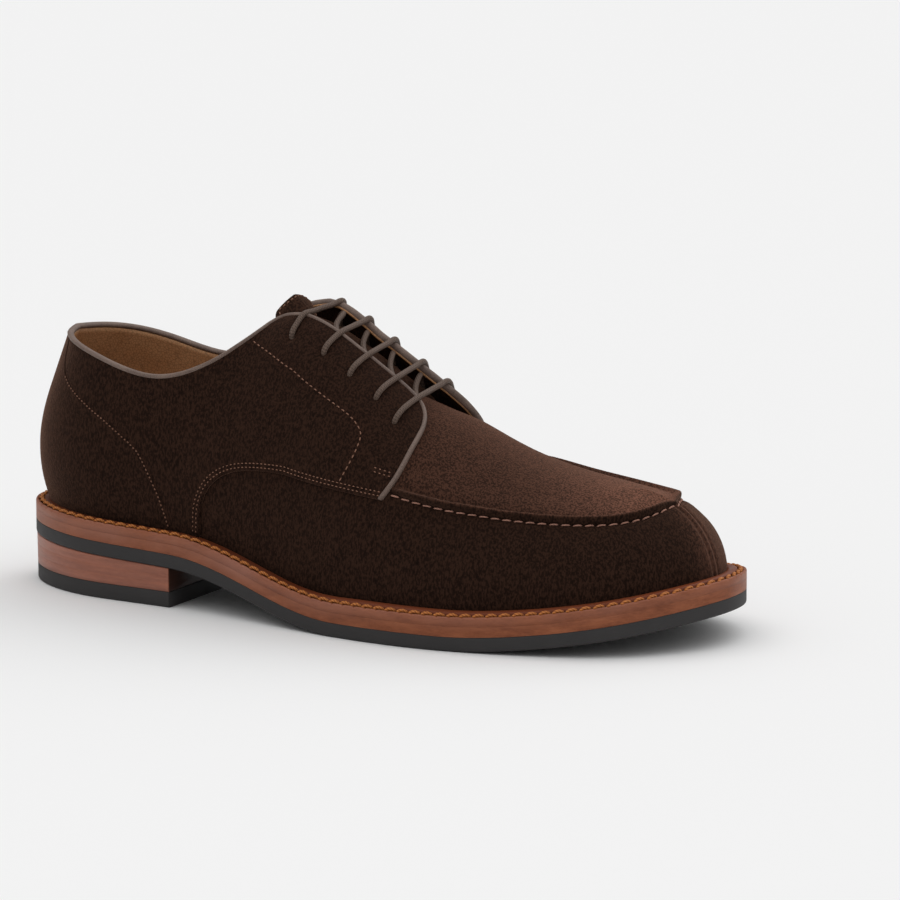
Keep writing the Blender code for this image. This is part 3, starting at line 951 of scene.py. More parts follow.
@dataclass(frozen=True)
class StitchRun:
    """A row of like stitches along a path."""

    pitch: float
    length: float
    radius: float
    slant: float = 0.0
    dip: float = 0.5
    rings: int = 7
    sides: int = 6
    look_ahead: float = 0.3

    def mesh(self, path: Array, normal: Array) -> Mesh:
        """Capsules laid end to end: a ring that swells from nothing and back, carried along each stitch.

        Args:
            path: line on the surface that the stitches follow.
            normal: outward direction at each point of the path.

        Returns:
            All stitches of the row as one mesh.
        """
        run = run_lengths(path)
        count = max(int(run[-1] / self.pitch), 1)
        middle = (np.arange(count) + 0.5) * run[-1] / count
        centre = read_path(path, middle)
        up = unit(read_columns(middle, run, normal))
        ahead = unit(read_path(path, middle + self.look_ahead) - read_path(path, middle - self.look_ahead))
        side = unit(np.cross(up, ahead))
        turn = math.radians(self.slant)
        ahead = math.cos(turn) * ahead + math.sin(turn) * side
        side = unit(np.cross(up, ahead))
        place = np.linspace(-1.0, 1.0, self.rings)
        swell = self.radius * np.sqrt(clamp(1.0 - place**4))
        angle = np.linspace(0.0, 2.0 * math.pi, self.sides, endpoint=False)
        spine = (centre[:, None] + 0.5 * self.length * place[None, :, None] * ahead[:, None]
                 - self.dip * (place**2)[None, :, None] * up[:, None])
        ring = (np.cos(angle)[None, None, :, None] * up[:, None, None]
                + np.sin(angle)[None, None, :, None] * side[:, None, None])
        points = spine[:, :, None] + swell[None, :, None, None] * ring
        quads = closed_rows(self.rings, self.sides)
        shift = (np.arange(count) * self.rings * self.sides)[:, None, None]
        spread = corner_spread(0.5 * self.length * place, self.sides)
        return Mesh(points.reshape(-1, 3), (quads[None] + shift).reshape(-1, 4), np.tile(spread, (count, 1)))


FACING_STITCH = StitchRun(pitch=2.4, length=1.75, radius=0.26, slant=4.0, dip=0.25, rings=5)
HEM_STITCH = StitchRun(pitch=1.75, length=1.2, radius=0.21, dip=0.22, rings=5)
COUNTER_STITCH = StitchRun(pitch=1.6, length=0.9, radius=0.24, dip=0.16, rings=5)
TONGUE_STITCH = StitchRun(pitch=2.0, length=1.45, radius=0.27, dip=0.12, rings=5)
APRON_STITCH = StitchRun(pitch=4.4, length=3.8, radius=0.33, slant=5.0, dip=0.4, sides=8)
WELT_STITCH = StitchRun(pitch=5.0, length=5.2, radius=0.70, slant=15.0, dip=0.95, rings=9, sides=8)


@dataclass(frozen=True)
class Crease:
    """A soft trough on the side of the shoe, along a line in side view."""

    x: float
    z: float
    lean: float
    reach: float
    width: float
    depth: float

    def drop(self, points: Array) -> Array:
        """Depth of the trough: a bell across the line, fading along it.

        Args:
            points: grid of points on the side.

        Returns:
            Depth at each point.
        """
        turn = math.radians(self.lean)
        x = points[..., 0] - self.x
        z = points[..., 2] - self.z
        across = x * math.cos(turn) - z * math.sin(turn)
        along = x * math.sin(turn) + z * math.cos(turn)
        return self.depth * bell(across, 0.0, self.width) * bell(along, 0.0, self.reach)


# Eyelet pairs from the top down: x on the outer side, x on the inner side, distance down from the crest
EYELETS = (
    (119.8, 124.6, 18.3),
    (134.8, 135.7, 23.3),
    (146.7, 146.7, 24.7),
    (158.6, 158.5, 26.5),
    (168.0, 168.6, 30.7),
)

CREASES = (
    Crease(168.0, 44.0, -22.0, 20.0, 5.5, 0.30),
    Crease(181.0, 40.0, -18.0, 18.0, 5.0, -0.22),
    Crease(192.0, 38.0, -14.0, 17.0, 5.5, 0.26),
    Crease(84.0, 62.0, 24.0, 24.0, 7.0, 0.35),
    Crease(101.0, 66.0, 20.0, 22.0, 8.0, -0.25),
    Crease(58.0, 58.0, -12.0, 22.0, 9.0, 0.28),
)


def crease_relief(points: Array) -> Array:
    """All creases together, as a height to add."""
    return -sum(crease.drop(points) for crease in CREASES)


@dataclass(frozen=True)
class QuarterPattern:
    """Cut lines of a quarter: its seam on the vamp, its top line and its front edge."""

    turn: float = 0.45
    seam_start: float = 0.3685
    rise: float = 0.6
    thick: float = 1.2
    heel_rise: float = -0.4
    edge_round: float = 0.7
    heel_reach: Range = (0.0, 0.22)
    spring_rise: Table = (
        (0.430, 0.0), (0.448, 2.9), (0.458, 4.3), (0.468, 4.2), (0.485, 2.8), (0.505, 1.8), (0.540, 1.8),
        (0.560, 1.9), (0.575, 1.8), (0.585, 1.6), (0.594, 0.9), (0.602, 0.0),
    )
    spring_reach: Range = (9.0, 30.0)
    collar_in: float = 2.0
    collar_up: float = 1.2
    collar_reach: Range = (0.10, 0.27)
    in_shares: Range = (0.35, 1.0)
    up_shares: Range = (0.70, 1.0)
    front_reach: Range = (0.72, 1.0)
    seam: Table = (
        (0.3685, 0.0), (0.3700, 0.08), (0.3708, 0.145), (0.3745, 0.230), (0.3830, 0.312), (0.3950, 0.363),
        (0.4075, 0.382), (0.4238, 0.378), (0.4388, 0.362), (0.4625, 0.347), (0.4863, 0.353),
        (0.5100, 0.365), (0.5325, 0.373),
    )
    top: Table = (
        (0.3685, 0.0), (0.400, 0.0), (0.4288, 0.0), (0.4363, 0.8), (0.4487, 5.1), (0.4587, 8.5),
        (0.470, 9.8), (0.4863, 10.1), (0.4975, 10.1), (0.510, 10.3), (0.525, 10.5), (0.5413, 10.7),
        (0.5575, 11.1), (0.5675, 11.6), (0.575, 12.5), (0.5813, 14.4), (0.5858, 18.3),
    )
    front: Table = (
        (0.5565, 63.2), (0.5675, 54.0), (0.5750, 45.1), (0.5803, 36.8), (0.5850, 28.6), (0.5868, 22.8),
        (0.5858, 18.3),
    )
    station_mm: float = 400.0
    rib_mm: float = 95.0

    def read(self, rows: Array, at: Array, scale: Range) -> Array:
        """Cubic through the rows, its parameter the chord length in millimetres brought to 0..1.

        Args:
            rows: rows of two columns.
            at: parameters to read.
            scale: millimetres for a unit of each column.

        Returns:
            One row for each parameter.
        """
        rows = np.asarray(rows, float)
        chord = run_lengths(rows * np.asarray(scale))
        return natural_spline(chord / chord[-1], rows, at)

    def front_line(self, side: Side, at: Array) -> Array:
        """Front edge from its lower corner up, as stations and shares."""
        rows = self.read(self.front, at, (self.station_mm, 1.0))
        return np.column_stack([rows[:, 0], LAST.share_below(rows[:, 0], side, rows[:, 1])])

    def past_turn(self, at: Array) -> Array:
        """Share of the way from the seam's foot to the front."""
        return clamp((at - self.turn) / (1.0 - self.turn))

    def heel_drop(self, station: Array) -> Array:
        """Height by which the leather lies closer to the last round the heel."""
        return self.heel_rise * ease_off(station, *self.heel_reach)

    def foot_line(self, side: Side, at: Array) -> Array:
        """Lower edge: along the feather line, then up and forward along the seam on the vamp.

        Args:
            side: outer or inner side.
            at: 0 at the heel to 1 at the front.

        Returns:
            Stations and shares.
        """
        corner = self.front_line(side, np.array([0.0]))[0]
        rows = np.vstack([self.seam, corner])
        seam = self.read(rows, self.past_turn(at), (self.station_mm, self.rib_mm))
        heel = np.column_stack([self.seam_start * at / self.turn, np.zeros(len(at))])
        return np.where((at < self.turn)[:, None], heel, seam)

    def top_line(self, side: Side, at: Array) -> Array:
        """Upper edge: the collar, then the facing's edge along the throat."""
        rows = self.read(self.top, self.past_turn(at), (self.station_mm, 1.0))
        station = np.where(at < self.turn, self.seam_start * at / self.turn, rows[:, 0])
        below = np.where(at < self.turn, 0.0, np.clip(rows[:, 1], 0.0, None))
        return np.column_stack([station, LAST.share_below(station, side, below)])

    def spring(self, side: Side, station: Array, below: Array) -> Array:
        """Height by which the inner facing stands off at the throat, fading downwards and at both ends."""
        if side is Side.OUTER:
            return np.zeros_like(below)
        return read_table(self.spring_rise, station) * ease_off(below, *self.spring_reach)

    def collared(self, base: Array, station: Array, share: Array) -> Array:
        """Points on the last drawn in and up towards the collar at the back of the heel.

        Args:
            base: points on the last.
            station: their stations.
            share: their shares of the ribs.

        Returns:
            The points moved.
        """
        back = ease_off(station, *self.collar_reach)
        shift = np.zeros_like(base)
        shift[..., 0] = self.collar_in * back * ease(share, *self.in_shares)
        shift[..., 2] = self.collar_up * back * ease(share, *self.up_shares)
        return base + shift

    def net(self, side: Side, along: Array, up: Array) -> Array:
        """Patch between the foot line and the top line, bent near its front end to the front edge.

        Args:
            side: outer or inner side.
            along: 0 at the heel to 1 at the front.
            up: 0 at the foot to 1 at the top.

        Returns:
            Stations and shares, columns by rows by two.
        """
        foot = self.foot_line(side, along)[:, None]
        top = self.top_line(side, along)[:, None]
        weight = up[None, :, None]
        straight = (1.0 - weight[0]) * foot[-1] + weight[0] * top[-1]
        pull = ease(along, *self.front_reach)[:, None, None]
        return (1.0 - weight) * foot + weight * top + pull * (self.front_line(side, up) - straight)[None]


@dataclass
class Quarter:
    """One quarter laid on the last, with its edges, rows of stitches and eyelet holes."""

    side: Side
    pattern: QuarterPattern = QuarterPattern()
    facing_row: Table = (
        (0.4175, 2.8), (0.430, 12.6), (0.4463, 25.9), (0.460, 33.8), (0.475, 37.6), (0.4913, 39.1),
        (0.5038, 39.5), (0.5162, 39.9), (0.5262, 41.3), (0.5312, 43.4), (0.5316, 46.4), (0.5288, 51.7),
        (0.5225, 59.6), (0.5165, 66.2),
    )
    tack_row: Table = ((0.5475, 53.0), (0.5660, 50.8))
    tack_shifts: Range = (0.0, 1.6)
    columns: tuple[int, int] = (74, 168)
    hem: tuple[float, ...] = (
        0.0, 0.0025, 0.006, 0.011, 0.018, 0.026, 0.034, 0.042, 0.050, 0.060, 0.072, 0.086, 0.102,
    )
    rows_from: float = 0.122
    rows: int = 48
    least_agreement: float = 0.6
    hem_rows: Range = (1.3, 2.8)
    hem_sink: float = 0.14
    hem_sink_width: float = 0.5
    hem_set: float = 0.04
    facing_set: float = 0.05
    facing_sink: float = 0.2
    facing_sink_width: float = 1.3
    eyelet_sink: float = 1.0
    eyelet_width: float = 1.5
    lining_row: int = 9
    lining_thick: float = 0.4
    throat: float = 0.445
    lining_front: int = 14
    lining_out: float = 0.45
    lining_down: float = 2.25
    lining_radius: float = 0.42

    def __post_init__(self) -> None:
        """Works out the grid on the last, its normals and its relief."""
        turn = self.pattern.turn
        self.along = np.concatenate([np.linspace(0.0, turn, self.columns[0])[:-1],
                                     np.linspace(turn, 1.0, self.columns[1])])
        up = np.concatenate([self.hem, np.linspace(self.rows_from, 1.0, self.rows)])
        net = self.pattern.net(self.side, self.along, up)
        self.station, share = net[..., 0], clamp(net[..., 1])
        self.base = self.pattern.collared(LAST.point(self.station, self.side, share), self.station, share)
        outward = LAST.normal(self.station, self.side, share)
        normal = -self.side.sign * grid_normals(self.base)
        crowded = (normal * outward).sum(axis=2, keepdims=True) < self.least_agreement
        self.normal = np.where(crowded, outward, normal)
        self.below = (1.0 - share) * LAST.rib_length(self.station, self.side)
        self.hem_run = row_lengths(self.base)
        self.height = self.relief()

    def relief(self) -> Array:
        """Height over the last: the leather's rise, rounded hem, sunk rows, eyelet dimples and creases."""
        pattern = self.pattern
        height = pattern.rise + pattern.heel_drop(self.station)
        on_seam = (self.along > pattern.turn)[:, None]
        bend = 1.0 - clamp(self.hem_run / pattern.edge_round)
        height = height - np.where(on_seam, pattern.edge_round * (1.0 - np.sqrt(1.0 - bend**2)), 0.0)
        sunk = self.hem_sink * sum(bell(self.hem_run, row, self.hem_sink_width) for row in self.hem_rows)
        height = height - np.where(on_seam, sunk, 0.0)
        from_facing = nearest(self.base, self.facing_path()[0])
        height = height - self.facing_sink * bell(from_facing, 0.0, self.facing_sink_width)
        for hole in self.holes():
            height = height - self.eyelet_sink * bell(nearest(self.base, hole[None]), 0.0, self.eyelet_width)
        return height + crease_relief(self.base) + pattern.spring(self.side, self.station, self.below)

    def on_last(self, station: Array, share: Array, rise: float) -> tuple[Array, Array]:
        """Points over the last at a height.

        Args:
            station: places along the side.
            share: shares of the ribs.
            rise: height over the last, before the creases and the facing's spring.

        Returns:
            Points and their normals.
        """
        normal = LAST.normal(station, self.side, share)
        pattern = self.pattern
        base = pattern.collared(LAST.point(station, self.side, share), station, share)
        below = (1.0 - share) * LAST.rib_length(station, self.side)
        lift = rise + pattern.heel_drop(station)
        lift = lift + crease_relief(base) + pattern.spring(self.side, station, below)
        return base + lift[:, None] * normal, normal

    def holes(self) -> Array:
        """Eyelet centres on the last."""
        below = np.array(EYELETS)[:, 2]
        station = np.array([LAST.station_at(row[self.side.value], self.side, row[2]) for row in EYELETS])
        return LAST.point(station, self.side, LAST.share_below(station, self.side, below))

    def facing_path(self) -> tuple[Array, Array]:
        """Row of stitches that marks off the facing."""
        rows = self.pattern.read(self.facing_row, unit_steps(ROW_SAMPLES), (self.pattern.station_mm, 1.0))
        share = LAST.share_below(rows[:, 0], self.side, rows[:, 1])
        return self.on_last(rows[:, 0], share, self.pattern.rise - self.facing_set)

    def tack_path(self, shift: float) -> tuple[Array, Array]:
        """Short row that holds the facing's front corner, moved down by some millimetres."""
        rows = through(self.tack_row, 8)
        share = LAST.share_below(rows[:, 0], self.side, rows[:, 1] + shift)
        return self.on_last(rows[:, 0], share, self.pattern.rise)

    def hem_path(self, distance: float) -> tuple[Array, Array]:
        """Line at a distance from the seam's edge, square to it.

        Args:
            distance: distance into the quarter.

        Returns:
            Points and their normals.
        """
        at = self.along[self.along > self.pattern.turn][2:]
        station, share = self.pattern.foot_line(self.side, at).T
        edge, normal = self.on_last(station, share, self.pattern.rise - self.hem_set)
        into = -self.side.sign * unit(np.cross(normal, np.gradient(edge, axis=0)))
        return edge + distance * into, normal

    def surface(self, sink: float = 0.0) -> Array:
        """Grid on the quarter's face, or at a depth below it."""
        return self.base + (self.height - sink)[..., None] * self.normal

    def mesh(self) -> Mesh:
        """Closed sheet of leather, its lowest row tucked behind the welt's stitching."""
        outer, inner = self.surface(), self.surface(self.pattern.thick)
        tucked(outer, inner, np.where(self.along < self.pattern.turn, 1.0, 0.0))
        return shell(outer, inner)

    def lining(self) -> Mesh:
        """Thin leather glued to the back of the quarter, under the collar."""
        collar = self.station[:, -1] < self.throat
        outer = self.surface(self.pattern.thick)[collar, self.lining_row :]
        return shell(outer, outer - self.lining_thick * self.normal[collar, self.lining_row :])

    def lining_edge(self) -> Mesh:
        """Cut edge of the facing's lining, a thin line that shows below the binding along the throat."""
        throat = np.flatnonzero(self.station[:, -1] >= self.throat)
        surface = self.surface()
        front = np.arange(-2, -self.lining_front, -1)
        edge = np.concatenate([surface[throat, -1], surface[-1, front]])
        normal = np.concatenate([self.normal[throat, -1], self.normal[-1, front]])
        outward = unit(np.concatenate([surface[throat, -1] - surface[throat, -3],
                                       surface[-1, front] - surface[-4, front]]))
        path = edge + self.lining_out * outward - self.lining_down * normal
        return tube(path, np.full(len(edge), self.lining_radius), 8, normal)

    def edge(self) -> tuple[Array, Array]:
        """Bound edge from the front's lower corner up and back along the top to the heel, with normals."""
        surface = self.surface()
        points = np.concatenate([surface[-1], surface[::-1, -1][1:]])
        return points, np.concatenate([self.normal[-1], self.normal[::-1, -1][1:]])


@dataclass(frozen=True)
class ApronPattern:
    """Line of the raised apron seam below the crest, and the section of its ridge."""

    outer_seam: Table = (
        (0.50, 61.0), (0.570, 58.0), (0.596, 55.0), (0.6225, 51.6), (0.649, 48.3), (0.676, 45.8),
        (0.704, 43.5), (0.734, 41.5), (0.766, 39.2), (0.801, 35.8), (0.841, 30.6), (0.894, 23.2),
        (0.945, 18.5), (1.0, 16.3),
    )
    inner_seam: Table = (
        (0.50, 58.0), (0.570, 53.0), (0.600, 44.0), (0.630, 36.5), (0.660, 32.8), (0.700, 32.0),
        (0.750, 32.6), (0.800, 33.0), (0.841, 30.6), (0.894, 23.8), (0.945, 18.6), (1.0, 16.3),
    )
    ridge: Table = (
        (0.0, -0.8), (0.2, 0.5), (0.45, 1.55), (0.75, 2.35), (1.1, 2.78), (1.5, 2.88), (1.9, 2.72),
        (2.3, 2.2), (2.65, 1.5), (2.95, 0.9), (3.3, 0.5), (3.8, 0.4), (4.6, 0.42), (6.0, 0.4), (8.5, 0.28),
        (11.0, 0.12), (14.0, 0.0),
    )
    gutter: Table = (
        (-1.0, -1.0), (0.0, -0.55), (0.6, -0.4), (1.3, -0.1), (2.2, 0.18), (3.5, 0.32), (5.5, 0.25),
        (8.0, 0.08), (11.0, 0.0),
    )
    dent: float = 0.45
    dent_at: float = 3.15
    dent_width: float = 0.6
    fade: Range = (0.557, 0.585)
    tip_fall: float = 0.68
    tip_reach: Range = (0.86, 1.0)
    inner_fall: float = 0.06

    def depth(self, station: Array, side: Side) -> Array:
        """Distance of the seam below the crest."""
        rows = np.array(self.outer_seam if side is Side.OUTER else self.inner_seam)
        return natural_spline(rows[:, 0], rows[:, 1], station)[:, 0]

    def strength(self, station: Array) -> Array:
        """Share of the ridge's full height: it starts under the facing's corner and sinks towards the tip."""
        return ease(station, *self.fade) * (1.0 - self.tip_fall * ease(station, *self.tip_reach))


@dataclass
class Forepart:
    """Vamp wall with the split toe seam, and the apron with its raised ridge."""

    apron: ApronPattern = ApronPattern()
    thick: float = 0.85
    vamp_back: float = 0.33
    apron_back: float = 0.525
    top_share: float = 0.44
    wall_rows: int = 22
    crown_rows: int = 14
    split_ridge: float = 0.20
    split_groove: float = 0.22
    split_shoulder: float = 0.12
    split_widths: tuple[float, float, float] = (1.1, 0.8, 1.5)
    split_half: float = 1.9
    shoulder_halves: float = 2.1
    split_shift: int = -2
    throat_lift: float = -0.03
    throat_fade: Range = (0.60, 0.68)
    close_from: float = 0.93
    close_columns: int = 44
    close_power: float = 1.15
    columns_per_station: int = 330
    wall_sink: float = 0.6
    wall_fade: Range = (0.57, 0.68)
    crown_sinks: Range = (0.7, 0.8)
    under_fade: Range = (0.57, 0.61)
    behind_fade: Range = (0.53, 0.57)
    inner_reach: Range = (-0.1, 0.2)
    # Painted highlight: on the vamp's toe, and on the apron all over, towards the toe and the inner side and
    # in a line along the ridge's crest, where light falls from above and behind.
    toe_painted_highlight: float = 0.26
    toe_reach: Range = (0.90, 0.99)
    crown_painted_highlights: tuple[float, float, float] = (0.26, 0.74, 0.14)
    highlight_along: Range = (0.66, 0.92)
    highlight_across: Range = (-22.0, 12.0)
    highlight_within: Range = (0.8, 3.6)
    crest_painted_highlight: float = 0.42
    crest_highlight_at: float = 1.7
    crest_highlight_width: float = 0.45
    crest_highlight_reach: Range = (0.58, 0.66)
    stitches_from: float = 0.566
    stitch_out: float = 0.5
    stitch_lift: float = 0.1

    def stations(self, back: float) -> Array:
        """Stations of one side, closer together towards the toe."""
        even = np.linspace(back, self.close_from, int((self.close_from - back) * self.columns_per_station))
        rest = (1.0 - unit_steps(self.close_columns)[1:]) ** self.close_power
        return np.concatenate([even, 1.0 - (1.0 - self.close_from) * rest])

    def seam_run(self, station: Array, extra: float) -> tuple[Array, Array]:
        """Line parallel to the apron seam, over the toe, with its normals.

        Args:
            station: one side's stations.
            extra: distance outside the seam.

        Returns:
            Points and normals from the outer side to the inner.
        """
        depth = self.apron.depth
        share = {side: LAST.share_below(station, side, depth(station, side) + extra) for side in Side}
        points = over_toe(*(LAST.point(station, side, share[side]) for side in Side))
        return points, unit(over_toe(*(LAST.normal(station, side, share[side]) for side in Side)))

    def vamp(self) -> Mesh:
        """Wall from the welt to the apron seam: gutter under the ridge, split toe ridge, creases.

        Returns:
            The wall as a closed sheet, with its painted highlight at the toe.
        """
        station = self.stations(self.vamp_back)
        near = np.array(self.apron.gutter)[::-1, 0]
        out = {}
        for side in Side:
            length = LAST.rib_length(station, side)
            seam = np.minimum(self.apron.depth(station, side), (1.0 - self.top_share) * length)
            low = (length - seam)[:, None]
            outside = np.concatenate([near[0] + (low - near[0]) * np.linspace(1.0, 0.0, self.wall_rows)[None],
                                      np.tile(near[1:], (len(station), 1))], axis=1)
            out[side] = (1.0 - (seam[:, None] + outside) / length[:, None], outside)
        base = LAST.ring(station, lambda side: clamp(out[side][0]))
        outside = over_toe(*(out[side][1] for side in Side))
        around = over_toe(station, station)[:, None]
        normal = grid_normals(base)
        height = read_table(self.apron.gutter, outside) * self.apron.strength(around)
        height = height - self.wall_sink * ease_off(around, *self.wall_fade)
        height = height + self.split_relief(base, len(station) - 1 - self.split_shift) + crease_relief(base)
        outer = base + height[..., None] * normal
        inner = outer - self.thick * normal
        tucked(outer, inner, np.ones(len(outer)))
        # Painted highlight at the toe, which catches light from above and behind.
        lift_and_painted_highlight = np.broadcast_to(self.toe_painted_highlight * ease(around, *self.toe_reach), base.shape[:2])
        return shell(outer, inner, False, {"lift_and_painted_highlight": lift_and_painted_highlight})

    def split_relief(self, base: Array, middle: int) -> Array:
        """Toe seam: a rounded ridge down the middle, a groove and a low shoulder on either side of it.

        Args:
            base: the wall's grid.
            middle: number of its middle column.

        Returns:
            Height to add at each point.
        """
        away = np.linalg.norm(base - base[middle][None], axis=2)
        narrow, groove_width, wide = self.split_widths
        ridge = self.split_ridge * bell(away, 0.0, narrow)
        groove = self.split_groove * bell(away, self.split_half, groove_width)
        shoulder = self.split_shoulder * bell(away, self.shoulder_halves * self.split_half, wide)
        return ridge - groove + shoulder

    def crown(self) -> Mesh:
        """Apron: from the seam's sunk edge over the ridge to the crest, where both sides meet.

        Returns:
            The apron as a closed sheet folded along the crest, with its painted highlight.
        """
        station = self.stations(self.apron_back)
        ridge = np.array(self.apron.ridge)
        within = {}
        shares = {}
        for side in Side:
            depth = self.apron.depth(station, side)[:, None]
            rest = ridge[-1, 0] + (depth - ridge[-1, 0]) * unit_steps(self.crown_rows + 1)[None, 1:]
            within[side] = np.concatenate([np.tile(ridge[:, 0], (len(station), 1)), rest], axis=1)
            shares[side] = clamp(1.0 - (depth - within[side]) / LAST.rib_length(station, side)[:, None])
        around = over_toe(station, station)[:, None]
        base, normal = self.over_crest(LAST.ring(station, lambda side: shares[side]), around[:, 0])
        inside = over_toe(*within.values())
        run = run_lengths(self.seam_run(station, 0.0)[0])[:, None]
        beat = clamp(np.cos(2.0 * math.pi * run / APRON_STITCH.pitch))
        dent = self.apron.dent * bell(inside, self.apron.dent_at, self.apron.dent_width) * beat
        section = read_table(self.apron.ridge, inside) - dent
        inner_side = ease(np.linspace(-1.0, 1.0, len(around)), *self.inner_reach)[:, None]
        height = section * self.apron.strength(around) * (1.0 - self.apron.inner_fall * inner_side)
        under, behind = self.crown_sinks
        height = height - under * ease_off(around, *self.under_fade)
        height = height - behind * ease_off(around, *self.behind_fade)
        outer = base + height[..., None] * normal
        inner = outer - self.thick * normal
        # Painted highlight on the apron.
        lift_and_painted_highlight = self.crown_highlight(base, around, inside)
        return shell(folded_over(outer), folded_over(inner), True, {"lift_and_painted_highlight": folded_over(lift_and_painted_highlight)})

    def crown_highlight(self, base: Array, around: Array, inside: Array) -> Array:
        """Painted highlight on the apron, where light falls on it from above and behind: more towards toe and
        inner side, with a highlit line along the ridge's crest.

        Args:
            base: the apron's grid.
            around: station of each column.
            inside: distance of each point from the seam.

        Returns:
            Share of the highlight colour at each point.
        """
        everywhere, toe, inner = self.crown_painted_highlights
        towards_toe = toe * ease(around, *self.highlight_along)
        inner_side = inner * ease(base[..., 1], *self.highlight_across)
        field = (everywhere + towards_toe + inner_side) * ease(inside, *self.highlight_within)
        # Painted highlight in a thin line along the ridge's crest.
        line = self.crest_painted_highlight * bell(inside, self.crest_highlight_at, self.crest_highlight_width)
        return field + line * ease(around, *self.crest_highlight_reach)

    def over_crest(self, base: Array, around: Array) -> tuple[Array, Array]:
        """Rounds the grid over the crest: Bezier arches from each column to its partner on the other side.

        The handles follow the rows below, and are those of a circle's arc: two thirds of the chord times the
        tangent of a quarter of the turn over the sine of half of it, a little shorter towards the throat.

        Args:
            base: ring grid whose last row is the crest.
            around: station of each column.

        Returns:
            The grid with its upper rows on the arches, and its normals.
        """
        rows = base.shape[1]
        foot = rows - self.crown_rows - 1
        start, leave = base[:, foot], unit(base[:, foot + 1] - base[:, foot - 1])
        end, arrive = start[::-1], leave[::-1]
        turn = np.arccos(np.clip(-(leave * arrive).sum(axis=1), -1.0, 1.0))
        handle = np.tan(0.25 * turn) / np.sin(0.5 * turn) * np.linalg.norm(end - start, axis=1) / 1.5
        handle = (handle * (1.0 + self.throat_lift * ease_off(around, *self.throat_fade)))[:, None]
        controls = np.stack([start, start + handle * leave, end + handle * arrive, end], axis=1)
        arch = np.einsum("rk,nkc->nrc", bezier_weights(np.linspace(0.0, 0.5, self.crown_rows + 1)), controls)
        half = np.concatenate([base[:, :foot], arch], axis=1)
        across = np.concatenate([half, half[::-1][:, ::-1][:, 1:]], axis=1)
        return half, grid_normals(across)[:, :rows]

    def build(self) -> None:
        """Adds vamp and apron."""
        add_piece("vamp", self.vamp(), SUEDE)
        add_piece("apron", self.crown(), SUEDE)

    def stitches(self) -> Mesh:
        """Long stitches in the gutter at the ridge's outer foot."""
        path, normal = self.seam_run(self.stations(self.stitches_from), self.stitch_out)
        return APRON_STITCH.mesh(path + self.stitch_lift * normal, normal)


